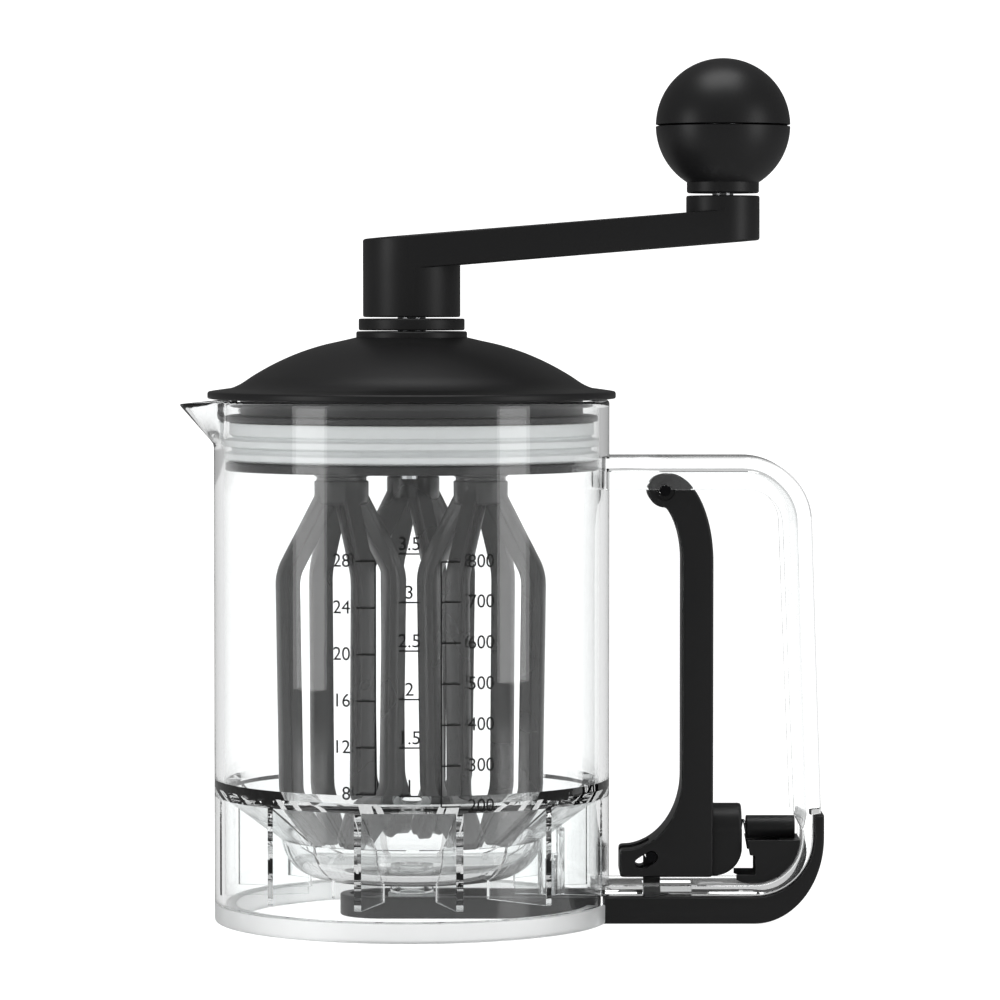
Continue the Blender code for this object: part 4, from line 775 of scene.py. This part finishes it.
def crank_plate():
    """Plan outline of two circles and their tangents; height = level + rise * x, edges rounded by 0.7."""
    lean = math.degrees(math.acos((HUB_R - KNOB_BOSS_R) / KNOB_X))
    plan = np.concatenate([arc((0.0, 0.0), HUB_R, lean, 360.0 - lean, 64),
                           arc((KNOB_X, 0.0), KNOB_BOSS_R, -lean, lean, 40)])
    edge, steps = 0.7, 5
    a = np.linspace(0.0, math.pi / 2, steps + 1)
    rings = []
    for level, rise, way, turns in ((UNDERSIDE_Z, UNDERSIDE_RISE, 1.0, a), (TOP_Z, TOP_RISE, -1.0, a[::-1])):
        for t in turns:
            ring = inset(plan, edge * (1 - math.sin(t)))
            lift = way * edge * (1 - math.cos(t))
            rings.append(np.column_stack([ring, level + rise * ring[:, 0] + lift]))
    return put("crank", np.stack(rings), sharp=28.0)


crank = crank_plate()
hub = turned("tool", rounded([(0.0, 189.0), (HUB_R - 0.02, 189.0), (HUB_R - 0.02, 171.0), (0.0, 171.0)],
                             [0.0, 0.1, 0.6, 0.0]), segments=128)
knob_boss = turned("tool", rounded([(0.0, 205.3), (KNOB_BOSS_R - 0.02, 205.3), (KNOB_BOSS_R - 0.02, 196.0),
                                    (0.0, 196.0)], [0.0, 0.6, 0.1, 0.0]), (KNOB_X, 0.0), 96)
carve(crank, [hub, knob_boss], "UNION")
carve(crank, [peg(4.3, 160.0, 188.9), peg(3.3, 194.3, 210.0, (KNOB_X, 0.0))], "DIFFERENCE", sharp=28.0)
dress(crank, "crank", ABS, "black_plastic", "crank_arm")

collar = turned("collar", rounded([(4.3, 170.6), (15.0, 170.6), (15.0, 167.3), (4.3, 167.3)],
                                  [0.2, 0.5, 0.5, 0.2]), segments=128)
dress(collar, "crank", ABS, "black_plastic", "crank_collar")

# %% [markdown]
# The knob is a ball moulded in two halves. A fine groove runs round the seam at its equator, and a
# collar closes it at the bottom.

# %% Knob
KNOB_Z, KNOB_R, KNOB_COLLAR = 225.1, 19.0, 10.2
waist = -math.degrees(math.acos(KNOB_COLLAR / KNOB_R))
lower_outline = np.concatenate([[(3.15, 224.95), (KNOB_R - 0.45, 224.95)],
                                arc((0.0, KNOB_Z), KNOB_R, -0.9, waist, 40),
                                [(KNOB_COLLAR, 206.4), (KNOB_COLLAR - 0.4, 206.0), (3.15, 206.0)]])
knob_lower = turned("knob_base", lower_outline, (KNOB_X, 0.0), 128)
dress(knob_lower, "knob", ABS, "black_plastic", "knob_lower")
upper_outline = np.concatenate([arc((0.0, KNOB_Z), KNOB_R, 90.0, 0.9, 40), [(KNOB_R - 0.45, 225.25)],
                                [(16.0, 225.25)], arc((0.0, KNOB_Z), 16.0, 1.0, 90.0, 24)])
upper_outline[0, 0] = 0.0
upper_outline[-1, 0] = 0.0
knob_upper = turned("knob_cap", upper_outline, (KNOB_X, 0.0), 128)
dress(knob_upper, "knob", ABS, "black_plastic", "knob_upper")

# %% [markdown]
# A whisk is a hub and four bars that hang free at the bottom. Each bar has a stepped section, a
# narrow rib on a wider back, and is carried along a path with a shoulder and a knee. The path's
# corners are short curves, so the bar bends the way a moulding does.

# %% Whisks
HUB_TOP, HUB_FOOT, WHISK_HUB_R = 127.5, 118.5, 7.6
FACE_R, LEAN, SHOULDER_Z, KNEE_Z, TOE_R, TOE_Z = 19.2, 1.0, 100.0, 36.0, 8.0, 22.2
FACE_W, BACK_W, STEP, DEPTH = 4.2, 6.4, 2.3, 5.7


def bar_path():
    """Outer-face line (radius, height) with quadratic curves at the shoulder and the knee."""
    top, toe = np.array([WHISK_HUB_R * 0.75, HUB_TOP - 3.0]), np.array([TOE_R, TOE_Z])
    shoulder, knee = np.array([FACE_R, SHOULDER_Z]), np.array([FACE_R - LEAN, KNEE_Z])
    t = np.linspace(0.0, 1.0, 9)[:, None]

    def bend(before, corner, after, setback=4.0):
        p = corner + (before - corner) / np.linalg.norm(before - corner) * setback
        q = corner + (after - corner) / np.linalg.norm(after - corner) * setback
        return (1 - t) ** 2 * p + 2 * t * (1 - t) * corner + t ** 2 * q
    rest = toe + (knee - toe) / np.linalg.norm(knee - toe) * np.array([[1.6], [0.7], [0.2], [0.0]])
    return np.concatenate([[top], bend(top, shoulder, knee), bend(shoulder, knee, toe), rest])


def whisk_bar(azimuth, centre):
    """Section (depth, width) carried along the path, square to it, then turned to its azimuth."""
    path = bar_path()
    way = np.gradient(path, axis=0)
    way = way / np.linalg.norm(way, axis=1, keepdims=True)
    inward = np.stack([way[:, 1], -way[:, 0]], -1)
    f, b = FACE_W / 2, BACK_W / 2
    section = [(0, -f), (0, f), (STEP, f), (STEP, b), (DEPTH, b), (DEPTH, -b), (STEP, -b), (STEP, -f)]
    section = rounded(section, [0.7, 0.7, 0.3, 0.5, 0.8, 0.8, 0.5, 0.3], 2)
    shrink = np.ones(len(path))
    shrink[-3:] = (0.97, 0.88, 0.66)
    middle = np.array([DEPTH / 2, 0.0])
    section = middle + (section[None] - middle) * shrink[:, None, None]
    r = path[:, None, 0] + inward[:, None, 0] * section[:, :, 0]
    z = path[:, None, 1] + inward[:, None, 1] * section[:, :, 0]
    w = section[:, :, 1]
    x = r * math.cos(azimuth) - w * math.sin(azimuth) + centre[0]
    y = r * math.sin(azimuth) + w * math.cos(azimuth) + centre[1]
    return put("tool", np.stack([x, y, z], -1), sharp=30.0)


def whisk(name, turn):
    """Hub with a groove near its top, four welded bars, and a blind bore for the shaft."""
    centre = polar(ORBIT, WHISK_AT[name])
    outline = [(0.0, HUB_TOP), (WHISK_HUB_R, HUB_TOP), (WHISK_HUB_R, 126.5), (7.0, 126.2), (7.0, 125.3),
               (WHISK_HUB_R, 125.0), (WHISK_HUB_R, HUB_FOOT), (0.0, HUB_FOOT)]
    hub_piece = turned(f"whisk_cage_{name}", rounded(outline, [0.0, 0.4, 0.2, 0.1, 0.1, 0.2, 1.2, 0.0]),
                       centre, 64, sharp=30.0)
    bars = [whisk_bar(math.radians(turn) + math.tau * k / 4, centre) for k in range(4)]
    carve(hub_piece, bars, "UNION", sharp=30.0)
    carve(hub_piece, [peg(3.1, 120.5, 140.0, centre, segments=32)], "DIFFERENCE", sharp=30.0)
    return dress(hub_piece, f"{name}_whisk", NYLON, "black_nylon", f"whisk_{name}")


for whisk_name, whisk_turn in (("left", 25.0), ("right", -25.0), ("rear", 25.0)):
    whisk(whisk_name, whisk_turn)

# %% [markdown]
# The volume scales are pad-printed on the front of the wall: fluid ounces on the left, cups in the
# middle, millilitres on the right. A mark is a thin strip bent round the wall, and a number is
# text made into a mesh and bent the same way. Heights follow from one fact each: where the lowest
# mark sits and how far apart the marks are.

# %% Printed scales
PRINT_R = JUG_R + 0.06
INK_THICK = 0.05


def wrap(across, height, radius):
    """A flat point (across, height) goes to the wall at angle across / R from the front."""
    a = across / JUG_R
    return np.stack([radius * np.sin(a), -radius * np.cos(a), height], -1)


def strip(across0, across1, height0, height1):
    """Thin curved bar of ink: a ring of four corners carried across the wall."""
    columns = max(2, int(abs(across1 - across0) / 1.2) + 1)
    u = np.linspace(across0, across1, columns)
    ring = [wrap(u, np.full(columns, h), PRINT_R + t)
            for h, t in ((height0, 0.0), (height1, 0.0), (height1, INK_THICK), (height0, INK_THICK))]
    return np.stack(ring, axis=1)


def join_meshes(name, pieces):
    """Put several closed meshes in one object."""
    bm = bmesh.new()
    for piece in pieces:
        bm.from_mesh(piece.data)
        bpy.data.objects.remove(piece)
    mesh = bpy.data.meshes.new(name)
    bm.to_mesh(mesh)
    bm.free()
    whole = bpy.data.objects.new(name, mesh)
    bpy.context.scene.collection.objects.link(whole)
    return whole


def number(text, across, height, size, align):
    """Text made a mesh, then every point wrapped on the wall."""
    curve = bpy.data.curves.new("number", "FONT")
    curve.body = text
    curve.size = size
    curve.align_x = align
    curve.align_y = "CENTER"
    curve.extrude = INK_THICK / 2
    flat = bpy.data.objects.new("number", curve)
    bpy.context.scene.collection.objects.link(flat)
    bpy.context.view_layer.update()
    mesh = bpy.data.meshes.new_from_object(flat.evaluated_get(bpy.context.evaluated_depsgraph_get()))
    bpy.data.objects.remove(flat)
    co = np.zeros(len(mesh.vertices) * 3)
    mesh.vertices.foreach_get("co", co)
    co = co.reshape(-1, 3)
    bent = wrap(co[:, 0] + across, co[:, 1] + height, PRINT_R + INK_THICK / 2 + co[:, 2])
    mesh.vertices.foreach_set("co", ((bent + (AXIS_X, 0.0, 0.0)) * MM).ravel())
    piece = bpy.data.objects.new("number", mesh)
    bpy.context.scene.collection.objects.link(piece)
    return piece


LINE_W, DIGIT = 0.42, 5.2


def scale_marks(marks, line_at, tick_to, text_at, align, lift=0.0, line_ends=None):
    """A column of marks: ticks from line_at to tick_to, numbers at text_at, and an upright line."""
    made = []
    for text, height in marks:
        made.append(put("tick", strip(line_at, tick_to, height - LINE_W / 2, height + LINE_W / 2)))
        made.append(number(text, text_at, height + lift, DIGIT, align))
    if line_ends:
        made.append(put("line", strip(line_at - LINE_W / 2, line_at + LINE_W / 2, *line_ends)))
    return made


OUNCE_STEP, CUP_STEP, ML_STEP = 12.75, 13.25, 11.2
FIRST_OUNCE, FIRST_CUP, FIRST_ML, TOP_MARK, CUP_LIFT = 41.0, 40.6, 37.6, 104.6, 2.6
ounces = [(str(8 + 4 * k), FIRST_OUNCE + OUNCE_STEP * k) for k in range(6)]
cups = [(f"{1 + 0.5 * k:g}", FIRST_CUP + CUP_STEP * k) for k in range(6)]
millilitres = [(str(200 + 100 * k), FIRST_ML + ML_STEP * k) for k in range(6)] + [("800", TOP_MARK)]
ink = scale_marks(ounces, -9.0, -14.5, -16.0, "RIGHT", 0.0, (FIRST_OUNCE, TOP_MARK))
ink += scale_marks(cups, -2.6, 3.1, 0.3, "CENTER", CUP_LIFT)
ink += scale_marks(millilitres, 9.0, 14.4, 16.4, "LEFT", 0.0, (FIRST_ML, TOP_MARK))
scales = join_meshes("printed_scales", ink)
dress(scales, "jug", INK, "black_plastic")

# %% [markdown]
# What the eye hardly sees keeps its CAD shape: shafts, pins, screws and gears inside the lid, the
# valve slide and its washer. Each still gets the finish of what it is.

# %% Finishes on the CAD's own pieces
finishes = {
    BLACK_STEEL: ["lever_pin", "slide_pin"],
    STEEL: ["bracket_screw_front", "bracket_screw_rear", "drive_shaft", "knob_pin",
            "cover_screw_1", "cover_screw_2", "cover_screw_3", "whisk_shaft_left", "whisk_shaft_right",
            "whisk_shaft_rear"],
    ACETAL: ["sun_gear", "pinion_left", "pinion_right", "pinion_rear"],
    ABS: ["valve_slide"],
    SILICONE: ["valve_seal"],
}
for finish, names in finishes.items():
    for name in names:
        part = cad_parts[name]
        part.data.materials.clear()
        part.data.materials.append(finish)
print("finished", sum(len(n) for n in finishes.values()), "CAD nodes")

# %% [markdown]
# The jug stands on white, with a soft lamp to each side and a larger one above. The lamps'
# reflections draw it: upright highlights on the clear wall and a soft sheen on the knob and hub. The
# white is bright where a ray meets it straight or through clear plastic, and dim in reflections off
# black pieces, so that black stays black.

# %% Floor, room, lamps and camera
BACK_GLOW, FLOOR_GLOW, PLASTIC_GLOW, ROOM_DIM = 1.3, 0.95, 0.6, 0.14
FLOOR_HALF, FLOOR_LOW, FLOOR_HIGH = 3000.0, -20.0, -0.05
WHITE = (1.0, 1.0, 1.0, 1.0)


def surround(tree, glow):
    """Brightness of the white surroundings as a ray meets them.

    The full glow while nothing shiny has reflected the ray. A reflected ray gets PLASTIC_GLOW if it
    has also passed through clear plastic, and ROOM_DIM if it hasn't.
    """
    rays = node(tree, "ShaderNodeLightPath")
    carried = node(tree, "ShaderNodeMath", {"operation": "GREATER_THAN"}, {1: 0.5},
                   {0: rays.outputs["Transmission Depth"]})
    direct = node(tree, "ShaderNodeMath", {"operation": "LESS_THAN"}, {1: 0.5},
                  {0: rays.outputs["Glossy Depth"]})
    mirrored = node(tree, "ShaderNodeMapRange", None, {"To Min": ROOM_DIM, "To Max": PLASTIC_GLOW},
                    {"Value": carried.outputs[0]})
    return node(tree, "ShaderNodeMapRange", None, {"To Max": glow},
                {"Value": direct.outputs[0], "To Min": mirrored.outputs[0]}).outputs[0]


def floor_sheet():
    """A wide flat square under the object: white to look at, dim in reflections."""
    r = FLOOR_HALF
    ring = np.array([(-r, -r), (r, -r), (r, r), (-r, r)])
    rows = np.stack([np.column_stack([ring, np.full(4, z)]) for z in (FLOOR_LOW, FLOOR_HIGH)])
    piece = put("floor", rows)
    made, tree, output, place = new_material("white_acrylic_sheet")
    mottle = node(tree, "ShaderNodeTexNoise", None, {"Scale": per_mm(60.0), "Detail": 2.0}, {"Vector": place})
    gloss = node(tree, "ShaderNodeMapRange", None, {"To Min": 0.18, "To Max": 0.24},
                 {"Value": mottle.outputs["Fac"]})
    skin = node(tree, "ShaderNodeBsdfPrincipled", None,
                {"Base Color": linear("#8C8C8C"), "IOR": 1.49, "Emission Color": WHITE},
                {"Roughness": gloss.outputs[0], "Emission Strength": surround(tree, FLOOR_GLOW)})
    tree.links.new(skin.outputs[0], output.inputs["Surface"])
    piece.data.materials.append(made)
    return piece


def studio_room():
    """White behind and through the clear plastic, dim in reflections."""
    world = bpy.data.worlds.new("studio")
    world.use_nodes = True
    tree = world.node_tree
    tree.nodes.clear()
    white = node(tree, "ShaderNodeBackground", None, {"Color": WHITE},
                 {"Strength": surround(tree, BACK_GLOW)})
    output = node(tree, "ShaderNodeOutputWorld")
    tree.links.new(white.outputs[0], output.inputs["Surface"])
    bpy.context.scene.world = world


def lamp(name, place, target, width, height, watts):
    """A soft rectangular lamp that faces a point; places in metres."""
    light = bpy.data.lights.new(name, "AREA")
    light.shape = "RECTANGLE"
    light.size, light.size_y, light.energy = width, height, watts
    made = bpy.data.objects.new(name, light)
    bpy.context.scene.collection.objects.link(made)
    made.location = place
    aim = np.array(target) - np.array(place)
    made.rotation_euler = Vector(aim).to_track_quat("-Z", "Y").to_euler()
    made.visible_camera = False
    return made


floor_sheet()
studio_room()
MIDDLE = (0.0, 0.0, 0.12)
lamp("softbox_left", (-0.62, -0.36, 0.24), MIDDLE, 0.26, 0.46, 0.65)
lamp("softbox_right", (0.62, -0.36, 0.24), MIDDLE, 0.26, 0.46, 0.65)
lamp("softbox_top", (0.0, -0.1, 1.3), MIDDLE, 0.9, 0.7, 5.0)

CAMERA_BACK, CAMERA_UP, AIM_UP, LENS = 1.408, 0.1786, 0.1192, 179.0
eye = bpy.data.cameras.new("portrait")
eye.lens, eye.sensor_width = LENS, 36.0
eye.clip_start, eye.clip_end = 0.05, 20.0
camera = bpy.data.objects.new("portrait", eye)
bpy.context.scene.collection.objects.link(camera)
camera.location = (0.0, -CAMERA_BACK, CAMERA_UP)
camera.rotation_euler = (math.pi / 2 - math.atan2(CAMERA_UP - AIM_UP, CAMERA_BACK), 0.0, 0.0)
bpy.context.scene.camera = camera
bpy.context.scene.view_settings.view_transform = "Standard"
paths = bpy.context.scene.cycles
paths.max_bounces, paths.transmission_bounces = 24, 24
paths.glossy_bounces, paths.transparent_max_bounces = 12, 24
print("camera pitch", round(math.degrees(math.atan2(CAMERA_UP - AIM_UP, CAMERA_BACK)), 2), "degrees down")
